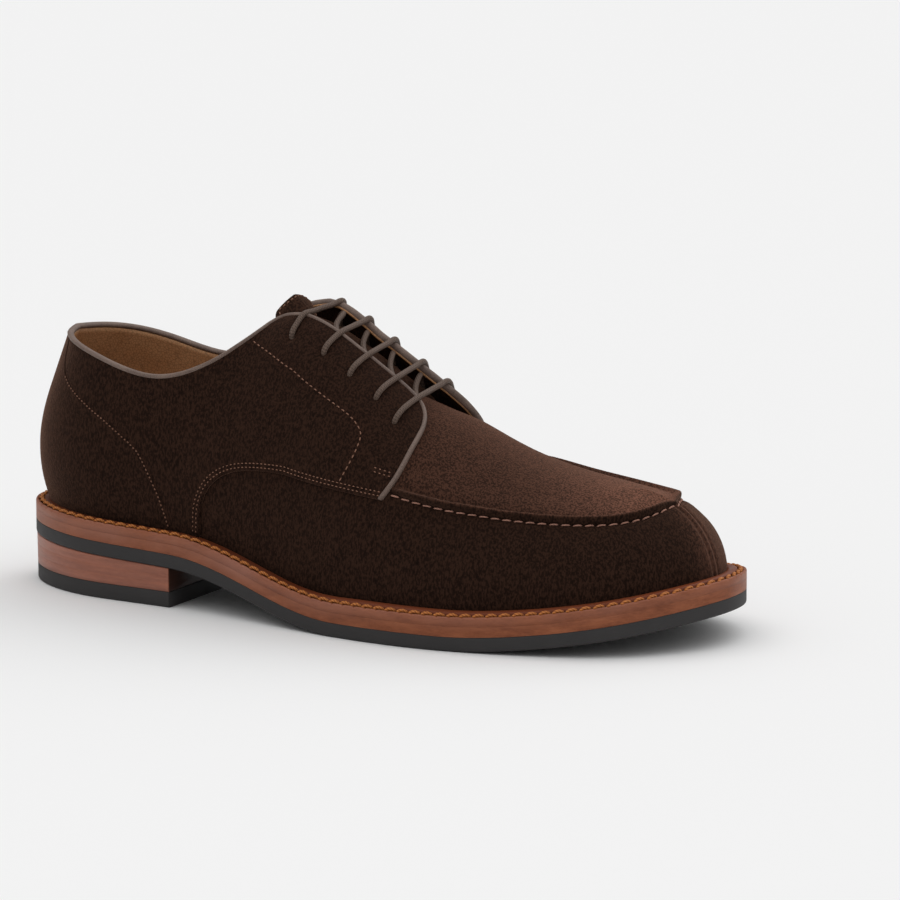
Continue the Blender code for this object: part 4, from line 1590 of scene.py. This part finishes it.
@dataclass
class Upper:
    """Quarters, heel counter, bound edge and lining, round the forepart."""

    outer: Quarter
    inner: Quarter
    counter: Table = (
        (0.0, 0.342), (0.121, 0.336), (0.228, 0.330), (0.330, 0.322), (0.425, 0.3135), (0.494, 0.306),
        (0.541, 0.295), (0.593, 0.2785), (0.645, 0.2585), (0.706, 0.2235), (0.756, 0.192), (0.797, 0.170),
        (0.841, 0.155), (0.899, 0.1455), (0.962, 0.140), (1.0, 0.134),
    )
    counter_rows: int = 72
    counter_columns: int = 61
    counter_flat: float = 0.88
    counter_rise: float = 0.22
    counter_sink: float = 0.25
    counter_round: float = 0.975
    counter_row: Range = (0.02, 0.80)
    counter_inset: float = 0.005
    counter_lift: float = 0.06
    binding_widths: Table = (
        (0.0, 0.98), (0.21, 0.92), (0.25, 0.95), (0.5, 1.0), (0.75, 1.0), (0.79, 1.1), (1.0, 1.15),
    )
    binding_sides: int = 14
    binding_thick: float = 1.35
    binding_step: float = 0.9
    binding_sink: float = 0.75
    lining_top: Table = (
        (0.0, 0.8), (0.40, 0.8), (0.430, 2.0), (0.4487, 22.0), (0.462, 40.0), (0.480, 55.0), (0.500, 63.0),
        (0.605, 63.0), (0.640, 20.0), (0.660, 1.0), (1.0, 1.0),
    )
    lining_thick: float = 0.7
    lining_turn: float = 0.62
    lining_columns: tuple[int, int] = (130, 60)
    lining_rows: int = 34
    lining_depths: Range = (1.5, 1.5)
    lining_reach: Range = (0.50, 0.60)
    lining_rim: float = 0.45
    rim_reach: Range = (0.86, 1.0)

    def counter_edge(self, share: Array) -> Array:
        """Station of the heel counter's edge at each share of the ribs."""
        return read_table(self.counter, share)

    def heel_counter(self) -> Mesh:
        """Counter over the back seam: wide at the sole, swept up to a narrow tail, its rim rounded off."""
        share = unit_steps(self.counter_rows)
        rim = np.array([0.90, 0.95, self.counter_round, 0.99, 1.0])
        flat = np.linspace(-self.counter_flat, self.counter_flat, self.counter_columns)
        across = np.concatenate([-rim[::-1], flat, rim])
        station = np.abs(across)[:, None] * self.counter_edge(share)[None]
        pattern = self.outer.pattern
        grids = [pattern.collared(LAST.point(station, side, share), station, share) for side in Side]
        base = np.where((across < 0.0)[:, None, None], grids[0], grids[1])
        normal = -grid_normals(base)
        low = pattern.rise + pattern.heel_drop(station) + crease_relief(base)
        past = clamp((np.abs(across) - self.counter_round) / (1.0 - self.counter_round))
        edge = np.sqrt(clamp(1.0 - past**2))[:, None]
        outer = base + (low + self.counter_rise * edge)[..., None] * normal
        inner = base + (low - self.counter_sink)[..., None] * normal
        tucked(outer, inner, np.ones(len(outer)))
        return shell(outer, inner)

    def counter_paths(self) -> list[tuple[Array, Array]]:
        """Row of stitches inside each edge of the heel counter, from the sole up to its tail."""
        share = np.linspace(*self.counter_row, ROW_SAMPLES)
        station = self.counter_edge(share) - self.counter_inset
        rise = self.outer.pattern.rise + self.counter_rise + self.counter_lift
        return [quarter.on_last(station, share, rise) for quarter in (self.outer, self.inner)]

    def binding(self) -> Mesh:
        """Leather roll carried along the bound edge of both quarters."""
        path, normal = (over_toe(outer, inner) for outer, inner in zip(self.outer.edge(), self.inner.edge()))
        run = run_lengths(path)
        even = np.linspace(0.0, run[-1], int(run[-1] / self.binding_step))
        normal = unit(read_columns(even, run, normal))
        radius = read_table(self.binding_widths, even / run[-1])
        sunk = read_path(path, even) - self.binding_sink * normal
        return tube(sunk, radius, self.binding_sides, normal, self.binding_thick)

    def lining(self) -> Mesh:
        """Inner face of the upper, all round the foot, open at the collar and along the throat."""
        back, front = self.lining_columns
        station = np.concatenate([np.linspace(0.0, self.lining_turn, back),
                                  np.linspace(self.lining_turn, 1.0, front)[1:]])
        rows = unit_steps(self.lining_rows)
        below = read_table(self.lining_top, station)
        share = {side: clamp((1.0 - below / LAST.rib_length(station, side))[:, None] * rows[None])
                 for side in Side}
        around = over_toe(station, station)
        shares = over_toe(*share.values())
        ring = LAST.ring(station, lambda side: share[side])
        base = self.outer.pattern.collared(ring, around[:, None], shares)
        normal = grid_normals(base)
        least, more = self.lining_depths
        depth = least + more * ease(around, *self.lining_reach)[:, None]
        depth = depth - self.lining_rim * ease(rows, *self.rim_reach)[None]
        return shell(base - depth[..., None] * normal, base - (depth + self.lining_thick)[..., None] * normal)

    def build(self) -> None:
        """Adds the quarters, heel counter, binding and linings."""
        add_piece("outer_quarter", self.outer.mesh(), SUEDE, ("upper",))
        add_piece("inner_quarter", self.inner.mesh(), SUEDE)
        linings = joined([self.outer.lining(), self.inner.lining()])
        add_piece("quarter_lining", linings, LINING_LEATHER)
        add_piece("facing_lining", self.inner.lining_edge(), LINING_LEATHER)
        add_piece("heel_counter", self.heel_counter(), SUEDE)
        add_piece("edge_binding", self.binding(), BINDING_LEATHER)
        add_piece("upper_lining", self.lining(), LINING_LEATHER)

    def stitches(self) -> Mesh:
        """All rows on the quarters and the heel counter."""
        meshes = []
        for quarter in (self.outer, self.inner):
            meshes.append(FACING_STITCH.mesh(*quarter.facing_path()))
            meshes += [HEM_STITCH.mesh(*quarter.hem_path(distance)) for distance in quarter.hem_rows]
            meshes += [HEM_STITCH.mesh(*quarter.tack_path(shift)) for shift in quarter.tack_shifts]
        meshes += [COUNTER_STITCH.mesh(*path) for path in self.counter_paths()]
        return joined(meshes)


@dataclass
class Tongue:
    """Strip under the throat with a rounded flap above the facings."""

    depth: float = 3.4
    flat: float = 1.2
    dive: float = 7.5
    thick: float = 1.8
    span: Range = (0.468, 0.606)
    half: Range = (15.5, 24.0)
    flap: Table = (
        (0.0, 15.5), (1.8, 12.0), (3.8, 11.2), (6.0, 12.0), (8.5, 12.9), (10.6, 12.6), (11.8, 11.0),
        (12.5, 8.4), (12.9, 4.6),
    )
    flap_slope: Range = (-0.79, 0.61)
    flap_twist: float = 0.42
    twist_reach: Range = (0.0, 9.0)
    flap_spread: float = 0.3
    spread_reach: Range = (0.0, 6.0)
    flap_power: float = 0.8
    flap_rows: int = 30
    middle_turn: float = 6.0
    rows: int = 44
    columns: int = 37
    dive_reach: Range = (0.545, 0.60)
    stitch_inset: int = 3
    stitch_start: int = 8
    stitch_sink: float = 0.06

    def __post_init__(self) -> None:
        """Works out the upper face: the last sunk by a depth, then rows drawn in and back for the flap."""
        station = np.linspace(self.span[1], self.span[0], self.rows)
        half = np.interp(station, self.span, self.half)
        across = np.linspace(-1.0, 1.0, self.columns)
        sides = {}
        for side in Side:
            share = LAST.share_below(station[:, None], side, np.abs(across) * half[:, None])
            normal = LAST.normal(station[:, None], side, share)
            normal[..., 1] *= np.minimum(np.abs(across) * self.middle_turn, 1.0)
            sunk = self.depth + self.flat * (1.0 - across**2)[None, :, None]
            sunk = sunk + self.dive * ease(station, *self.dive_reach)[:, None, None]
            sides[side] = LAST.point(station[:, None], side, share) - sunk * unit(normal)
        strip = np.where((across < 0.0)[None, :, None], sides[Side.OUTER], sides[Side.INNER])
        flap = np.array(self.flap)
        run = unit_steps(self.flap_rows)[1:] ** self.flap_power * flap[-1, 0]
        squeeze = natural_spline(flap[:, 0], flap[:, 1], run)[:, 0] / flap[0, 1]
        middle = strip[-1, self.columns // 2]
        away, rise = self.flap_slope
        wide, high = (strip[-1] - middle)[:, 1], (strip[-1] - middle)[:, 2]
        high = high[None] + self.flap_twist * ease(run, *self.twist_reach)[:, None] * wide[None]
        spread = self.flap_spread * ease(run, *self.spread_reach)[:, None]
        wide = wide[None] + spread * np.maximum(wide, 0.0)[None]
        turned = wide[..., None] * np.array([0.0, 1.0, 0.0]) + high[..., None] * np.array([rise, 0.0, -away])
        tip = middle + squeeze[:, None, None] * turned + run[:, None, None] * np.array([away, 0.0, rise])
        self.face = np.concatenate([strip, tip])
        self.normal = -grid_normals(self.face)

    def build(self) -> None:
        """Adds the tongue."""
        mesh = shell(self.face, self.face - self.thick * self.normal)
        add_piece("tongue_flap", mesh, TONGUE_SUEDE, ("tongue",))

    def rim(self, grid: Array) -> Array:
        """Points of a grid just inside the flap's edge: up one side, across the tip and down the other."""
        inside, first = self.stitch_inset, self.rows - self.stitch_start
        return np.concatenate([grid[first:-inside, inside], grid[-inside - 1, inside:-inside],
                               grid[first:-inside, -inside - 1][::-1]])

    def stitches(self) -> Mesh:
        """Pale row round the flap, sunk a little into it."""
        return TONGUE_STITCH.mesh(self.rim(self.face - self.stitch_sink * self.normal), self.rim(self.normal))


@dataclass
class Lace:
    """Waxed cord: bars over the facings, slanting runs beneath them, ends hidden at the top eyelets."""

    pattern: QuarterPattern = QuarterPattern()
    radius: float = 1.1
    edge: float = 10.0
    lean: Range = (3.7, 1.35)
    over: Table = ((0.0, -1.8), (0.5, 0.3), (2.4, 1.55))
    facing_lift: float = 1.6
    edge_lift: Range = (1.6, 2.0)
    bar_shares: tuple[float, ...] = (0.2, 0.5, 0.8)
    under_lift: float = -2.6
    gap_lift: float = -3.4
    gap_below: float = 0.5
    ahead: float = 2.0
    tuck_in: float = 5.0
    sway: float = 0.5
    end_below: float = 6.0
    climb_back: float = 3.0
    climb_below: float = 4.5
    climb_sink: float = 0.2
    step: float = 0.75
    samples: int = 14
    sides: int = 12

    def spot(self, x: float, side: Side, from_top: float, lift: float) -> Array:
        """Point over the last.

        Args:
            x: place along the shoe.
            side: outer or inner side.
            from_top: distance down from the crest.
            lift: height over the leather.

        Returns:
            The point.
        """
        station = np.array([LAST.station_at(x, side, from_top)])
        share = LAST.share_below(station, side, np.array([from_top]))
        lift = lift + self.pattern.spring(side, station, np.array([from_top]))[:, None]
        return (LAST.point(station, side, share) + lift * LAST.normal(station, side, share))[0]

    def climb(self, pair: tuple[float, float, float], side: Side) -> list[Array]:
        """Points from an eyelet up to the facing's edge, leaning evenly forward on the way."""
        place, reach, lean = pair[side.value], pair[2], self.lean[side.value]
        steps = [(reach - inward, lift) for inward, lift in self.over]
        steps += [(0.5 * (reach + self.edge), self.facing_lift), (self.edge, self.edge_lift[side.value])]
        return [self.spot(place + lean * (1.0 - below / reach), side, below, lift) for below, lift in steps]

    def crossing(self, pair: tuple[float, float, float], follower: tuple[float, float, float]) -> list[Array]:
        """Points of the hidden run from a pair's inner eyelet to the next pair's outer eyelet.

        Args:
            pair: one row of the eyelets.
            follower: the next row.

        Returns:
            The points in order.
        """
        start, end = pair[1], follower[0]
        return [
            self.spot(start + self.sway, Side.INNER, pair[2] - self.tuck_in, self.under_lift),
            self.spot(0.9 * start + 0.1 * end + self.ahead, Side.INNER, self.edge, self.under_lift),
            self.spot(0.5 * (start + end) + self.ahead, Side.OUTER, self.gap_below, self.gap_lift),
            self.spot(0.1 * start + 0.9 * end + self.ahead, Side.OUTER, self.edge, self.under_lift),
            self.spot(end - self.sway, Side.OUTER, follower[2] - self.tuck_in, self.under_lift),
        ]

    def route(self) -> Array:
        """Points of the whole lace, from its hidden end at the outer side's top eyelet.

        Returns:
            The points in order, to its other hidden end at the inner side's top eyelet.
        """
        points = [self.spot(EYELETS[0][0], Side.OUTER, EYELETS[0][2] + self.end_below, self.under_lift)]
        for number, pair in enumerate(EYELETS):
            near = self.climb(pair, Side.OUTER)
            far = self.climb(pair, Side.INNER)
            bar = [(1.0 - share) * near[-1] + share * far[-1] for share in self.bar_shares]
            points += [*near, *bar, *far[::-1]]
            if number + 1 < len(EYELETS):
                points += self.crossing(pair, EYELETS[number + 1])
        lift = self.under_lift - self.climb_sink
        for _, x, reach in EYELETS[::-1]:
            points.append(self.spot(x - self.climb_back, Side.INNER, reach + self.climb_below, lift))
        return np.array(points)

    def build(self) -> None:
        """Adds the lace and reports its length."""
        points = self.route()
        fine = through(points, self.samples * len(points))
        run = run_lengths(fine)
        path = read_path(fine, np.linspace(0.0, run[-1], int(run[-1] / self.step)))
        bars = tuple(f"lace_bar_{number + 1}" for number in range(len(EYELETS)))
        add_piece("lace", tube(path, self.radius, self.sides), WAXED_CORD, bars)
        LOG.info("lace length %.0f mm", run[-1])


@dataclass
class SoleUnit:
    """Welt, midsole, outsole, stacked heel, top piece and sock."""

    stations: int = 150
    welt_inner: float = 11.0
    welt_section: Table = (
        (0.0, -1.6), (0.0, -0.9), (0.1, -0.45), (0.35, -0.15), (0.7, -0.05), (1.05, -0.12), (1.4, -0.6),
        (2.3, -0.95), (3.1, -0.6), (3.4, 0.2), (3.65, 0.7), (4.1, 1.0), (4.9, 1.25), (6.0, 1.4), (7.2, 1.0),
        (9.0, 0.0),
    )
    edge_rows: int = 5
    rim_rows: int = 7
    groove_rows: int = 10
    strip_fall: float = 0.75
    strip_painted_shade: float = 0.3
    loop_samples: int = 1501
    welt_step: float = 0.5
    notch_depth: float = 0.6
    notch_floor: float = -0.95
    notch_reach: Range = (0.3, 0.7)
    notch_power: int = 8
    double_reach: Range = (0.6, 1.2)
    double_power: int = 5
    double_fade: Range = (0.05, 0.14)
    stitch_step: float = 1.0
    stitch_inset: float = 2.3
    stitch_lift: float = 0.3
    outsole_rim: Profile = (
        (3.0, 0.0, 0.0), (0.9, 0.0, 0.0), (0.35, 0.0, 0.12), (0.1, 0.0, 0.45), (0.0, 0.0, 1.0),
        (0.0, 1.0, -0.3), (0.05, 1.0, -0.05), (0.2, 1.0, 0.0), (0.7, 1.0, 0.0), (3.0, 1.0, 0.0),
    )
    midsole_rim: Profile = (
        (3.0, 0.0, 0.0), (0.35, 0.0, 0.0), (0.08, 0.0, 0.08), (0.0, 0.0, 0.3), (0.0, 1.0, -0.3),
        (0.0, 1.0, 0.0), (3.0, 1.0, 0.0),
    )
    sock_rim: Profile = (
        (4.0, 0.0, 0.0), (0.4, 0.0, 0.0), (0.0, 0.0, 0.6), (0.0, 1.0, 0.25), (-2.8, 1.0, 0.5),
        (-3.1, 1.0, 0.75), (-2.8, 1.0, 1.05), (0.4, 1.0, 0.9), (4.0, 1.0, 0.2),
    )
    layer_join: float = 0.15
    heel_join: float = 0.1
    lift_lines: Range = (0.34, 0.67)
    top_piece: float = 6.0
    foot_inset: float = 0.5
    top_inset: float = 0.3
    breast_round: float = 0.4
    breast_scale: tuple[float, float, float] = (1.0, 0.985, 0.95)
    face_inset: float = 3.0
    corner: float = 0.3
    line_half: float = 0.18
    line_depth: float = 0.07
    tread_rim: Profile = (
        (3.0, 0.0, 0.0), (0.8, 0.0, 0.0), (0.25, 0.0, 0.2), (0.0, 0.0, 0.8), (0.0, 1.0, -0.4),
        (0.3, 1.0, 0.0), (3.0, 1.0, 0.0),
    )

    def slab(
        self, low: Callable, high: Callable, profile: Profile, end_x: Optional[float] = None, across: int = 7
    ) -> Mesh:
        """Layer whose section is an edge profile on both sides, carried along the sole.

        Args:
            low: height of its underside by x.
            high: height of its upper face by x.
            profile: rows of inset, share of the thickness and extra height, from the underside up.
            end_x: where a heel layer ends; the whole sole if it isn't given.
            across: points over the upper face and over the underside.

        Returns:
            The closed layer.
        """
        last = 1.0
        if end_x is not None:
            last = math.acos(1.0 - 2.0 * (end_x - self.breast_round) / LAST.length) / math.pi
        station = np.linspace(0.0, last, self.stations)
        walls = {}
        for side in Side:
            rows = []
            for inset, share, extra in profile:
                plan = LAST.inset(station, side, inset)[0]
                if end_x is not None:
                    plan[-1, 0] = end_x - self.breast_round
                bottom = low(plan[:, 0])
                rows.append(np.column_stack([plan, bottom + share * (high(plan[:, 0]) - bottom) + extra]))
            walls[side] = np.stack(rows, axis=1)
        weight = unit_steps(across)[None, 1:-1, None]
        outer, inner = walls[Side.OUTER], walls[Side.INNER][:, ::-1]
        upper = outer[:, -1:] * (1.0 - weight) + inner[:, :1] * weight
        under = inner[:, -1:] * (1.0 - weight) + outer[:, :1] * weight
        grid = np.concatenate([outer, upper, inner, under], axis=1)
        if end_x is not None:
            middle = grid[-1].mean(axis=0)
            face = middle + (grid[-1] - middle) * np.array(self.breast_scale)
            face[:, 0] = end_x
            point = np.repeat(face.mean(axis=0)[None], grid.shape[1], axis=0)
            half = 0.5 * (face + point)
            grid = np.concatenate([grid, face[None], half[None], point[None]])
        level = edge_level(grid)
        # Painted shade: a heel layer's breast face is near black.
        if end_x is not None:
            level = np.repeat(np.where(np.arange(len(grid)) < self.stations, PLAIN, SHADED), grid.shape[1])
        return closed_band(grid, level)

    def loop(self, step: float) -> tuple[Array, Array]:
        """Stations at an even step round the whole sole.

        Args:
            step: length of a step.

        Returns:
            The stations, and which of them are on the inner side.
        """
        fine = unit_steps(self.loop_samples)
        parts = []
        for side in Side:
            run = run_lengths(LAST.outline(fine, side))
            parts.append(np.interp(np.linspace(0.0, run[-1], int(run[-1] / step)), run, fine))
        station = np.concatenate([parts[0][:-1], parts[1][::-1][:-1]])
        inner = np.concatenate([np.zeros(len(parts[0]) - 1, bool), np.ones(len(parts[1]) - 1, bool)])
        return station, inner

    def loop_points(self, station: Array, inner: Array, inset: float) -> Array:
        """Plan points round the sole at an inset."""
        plans = [LAST.inset(station, side, inset)[0] for side in Side]
        return np.where(inner[:, None], plans[1], plans[0])

    def welt(self) -> Mesh:
        """Welt: a section with a stitch groove carried round the sole, its rim notched at an even pitch.

        Returns:
            The welt, with the level of its edge finish, which paints shade near black into its stitch groove
            and darker into its strip towards the back.
        """
        station, inner = self.loop(self.welt_step)
        under = -LAST.welt - LAST.gap
        section = ((0.0, under), *self.welt_section, (self.welt_inner, 0.0), (self.welt_inner, under))
        run = run_lengths(self.loop_points(station, inner, 0.0))
        back = ease_off(station, *self.double_fade)
        beat = clamp(np.cos(2.0 * math.pi * run / WELT_STITCH.pitch)) ** self.notch_power
        double = clamp(np.cos(4.0 * math.pi * run / WELT_STITCH.pitch)) ** self.double_power
        columns = []
        for inset, rise in section:
            plan = self.loop_points(station, inner, inset)
            reach = bell(inset, *self.notch_reach) if rise > self.notch_floor else 0.0
            wide = bell(inset, *self.double_reach) * back if rise > self.notch_floor else 0.0
            cut = self.notch_depth * np.maximum(beat * reach, double * wide)
            rise = rise * (1.0 - self.strip_fall * rearward(plan)) if rise > 0.0 else rise
            columns.append(np.column_stack([plan, LAST.welt_top(plan[:, 0]) + rise - cut]))
        grid = np.stack(columns, axis=1)
        grid = np.concatenate([grid, grid[:1]])
        row = np.arange(grid.shape[1])
        # Painted shade: the stitch groove is near black, and the stained strip darkens towards the back,
        # where the upper comes lower over it.
        strip = np.where(row < self.groove_rows, SHADED, STAINED - self.strip_painted_shade * rearward(grid))
        level = np.where(row < self.edge_rows, edge_level(grid), np.where(row < self.rim_rows, 0.0, strip))
        return closed_band(grid, level)

    def welt_stitches(self) -> Mesh:
        """Thick slanting stitches in the welt's groove, all the way round."""
        station, inner = self.loop(self.stitch_step)
        plan = self.loop_points(station, inner, self.stitch_inset)
        path = np.column_stack([plan, LAST.welt_top(plan[:, 0]) + self.stitch_lift])
        path = np.concatenate([path, path[:1]])
        return WELT_STITCH.mesh(path, np.tile([0.0, 0.0, 1.0], (len(path), 1)))

    def build(self) -> None:
        """Adds the layers from the floor up."""
        bottom = LAST.sole_bottom
        on_outsole = LAST.outsole + LAST.gap
        on_midsole = on_outsole + LAST.midsole + LAST.gap
        add_piece("outsole_sheet", self.slab(
            bottom, lambda x: bottom(x) + LAST.outsole + self.layer_join, self.outsole_rim),
            SOLE_RUBBER, ("outsole",))
        add_piece("midsole_edge", self.slab(
            lambda x: bottom(x) + on_outsole - self.layer_join, lambda x: bottom(x) + on_midsole - LAST.gap,
            self.midsole_rim), EDGE_LEATHER, ("midsole",), 50.0)
        add_piece("welt_strip", self.welt(), EDGE_LEATHER, ("welt",))
        sock = tuple(
            (inset + self.welt_inner + LAST.gap, share, extra) for inset, share, extra in self.sock_rim)
        add_piece("sock", self.slab(
            lambda x: bottom(x) + on_midsole, lambda x: bottom(x) + on_midsole + LAST.welt, sock),
            SOCK_LEATHER, ("insole",))
        self.build_heel()

    def build_heel(self) -> None:
        """Adds the stacked heel, with a fine line between its lifts, and the rubber top piece."""
        foot, top, height = self.foot_inset, self.top_inset, self.top_piece + self.heel_join
        face, corner, line = self.face_inset, self.corner, self.line_half
        lifts = [(foot + face, 0.0, 0.0), (foot + corner, 0.0, 0.0), (foot, 0.0, corner)]
        for share in self.lift_lines:
            inset = foot + (top - foot) * share
            lifts += [(inset, share, -line), (inset + self.line_depth, share, 0.0), (inset, share, line)]
        lifts += [(top, 1.0, -corner), (top + corner, 1.0, 0.0), (top + face, 1.0, 0.0)]
        add_piece("heel_lifts", self.slab(
            lambda x: 0.0 * x + height, lambda x: LAST.sole_bottom(x) - self.heel_join,
            tuple(lifts), LAST.breast_x), STACK_LEATHER, ("heel_stack",), 45.0)
        pad = tuple((foot + inset, share, extra) for inset, share, extra in self.tread_rim)
        add_piece("heel_tread", self.slab(
            lambda x: 0.0 * x, lambda x: 0.0 * x + height, pad, LAST.breast_x),
            SOLE_RUBBER, ("heel_top_piece",), 45.0)


@dataclass(frozen=True)
class Studio:
    """Pale floor, soft lights and the camera at the photograph's angle."""

    azimuth: float = 28.0
    elevation: float = 10.8
    distance: float = 2400.0
    pixels_per_mm: float = 2.57
    frame_pixels: float = 900.0
    heel_pixel: Range = (45.5, 570.0)
    sensor: float = 36.0
    floor_half: float = 8.0
    floor_colour: Colour = (0.90, 0.90, 0.90)
    floor_roughness: float = 0.9
    floor_specular: float = 0.1
    ambient: float = 0.25
    dome: float = 1.25
    dome_power: float = 2.0
    lamp: float = 1.2
    lamp_power: float = 10.0
    lamp_way: Colour = (0.35, 0.70, 0.62)

    def axes(self) -> tuple[Array, Array, Array]:
        """Right, up and forward directions of the view."""
        turn, tilt = math.radians(self.azimuth), math.radians(self.elevation)
        right = np.array([math.cos(turn), math.sin(turn), 0.0])
        level = math.cos(tilt)
        forward = np.array([-math.sin(turn) * level, math.cos(turn) * level, -math.sin(tilt)])
        return right, np.cross(right, forward), forward

    def camera(self) -> None:
        """Camera placed so that the heel's back edge at the floor falls on its pixel."""
        right, up, forward = self.axes()
        across, down = (np.array(self.heel_pixel) - self.frame_pixels / 2.0) / self.pixels_per_mm
        target = -across * right + down * up
        place = (target - self.distance * forward - CENTRE) * MM
        data = bpy.data.cameras.new("camera")
        data.sensor_width = self.sensor
        data.lens = self.pixels_per_mm * self.distance / self.frame_pixels * self.sensor
        camera = bpy.data.objects.new("camera", data)
        turned = Matrix((right, up, -forward)).transposed()
        camera.matrix_world = Matrix.Translation(Vector(place)) @ turned.to_4x4()
        bpy.context.scene.collection.objects.link(camera)
        bpy.context.scene.camera = camera

    def floor(self) -> None:
        """Level pale floor."""
        half = self.floor_half
        data = bpy.data.meshes.new("floor")
        corners = [(-half, -half, 0), (half, -half, 0), (half, half, 0), (-half, half, 0)]
        data.from_pydata(corners, [], [(0, 1, 2, 3)])
        material = bpy.data.materials.new("pale floor")
        material.use_nodes = True
        shader = material.node_tree.nodes["Principled BSDF"]
        shader.inputs["Base Color"].default_value = (*self.floor_colour, 1.0)
        shader.inputs["Roughness"].default_value = self.floor_roughness
        shader.inputs["Specular IOR Level"].default_value = self.floor_specular
        data.materials.append(material)
        floor = bpy.data.objects.new("floor", data)
        bpy.context.scene.collection.objects.link(floor)

    def room(self) -> None:
        """Soft white room: brightness grows with the square of the height, and a broad lamp glows behind."""
        world = bpy.data.worlds.new("soft room")
        world.use_nodes = True
        sheet = NodeSheet(world.node_tree)
        way = sheet.add("ShaderNodeTexCoord").outputs["Generated"]
        rise = sheet.maths("MAXIMUM", sheet.add("ShaderNodeSeparateXYZ", {0: way}).outputs[2], 0.0)
        dome = sheet.times(sheet.maths("POWER", rise, self.dome_power), self.dome)
        toward = sheet.add("ShaderNodeVectorMath", {0: way, 1: unit(np.array(self.lamp_way)).tolist()},
                           operation="DOT_PRODUCT").outputs["Value"]
        facing = sheet.maths("MAXIMUM", toward, 0.0)
        glow = sheet.times(sheet.maths("POWER", facing, self.lamp_power), self.lamp)
        total = sheet.maths("ADD", sheet.maths("ADD", dome, glow), self.ambient)
        back = world.node_tree.nodes["Background"]
        back.inputs["Color"].default_value = (1.0, 1.0, 1.0, 1.0)
        sheet.tree.links.new(total, back.inputs["Strength"])
        bpy.context.scene.world = world

    def build(self) -> None:
        """Adds floor, surroundings and camera."""
        self.floor()
        self.room()
        bpy.context.scene.view_settings.view_transform = "Standard"
        self.camera()


def main() -> None:
    """Builds the shoe's pieces in order, then the studio."""
    logging.basicConfig(level=logging.INFO, format="%(message)s")
    sole = SoleUnit()
    sole.build()
    forepart = Forepart()
    forepart.build()
    upper = Upper(Quarter(Side.OUTER), Quarter(Side.INNER))
    upper.build()
    tongue = Tongue()
    tongue.build()
    Lace().build()
    add_piece("apron_stitches", forepart.stitches(), APRON_THREAD)
    add_piece("upper_stitches", joined([upper.stitches(), tongue.stitches()]), SEAM_THREAD)
    add_piece("welt_stitches", sole.welt_stitches(), WELT_THREAD)
    Studio().build()


if __name__ == "__main__":
    main()
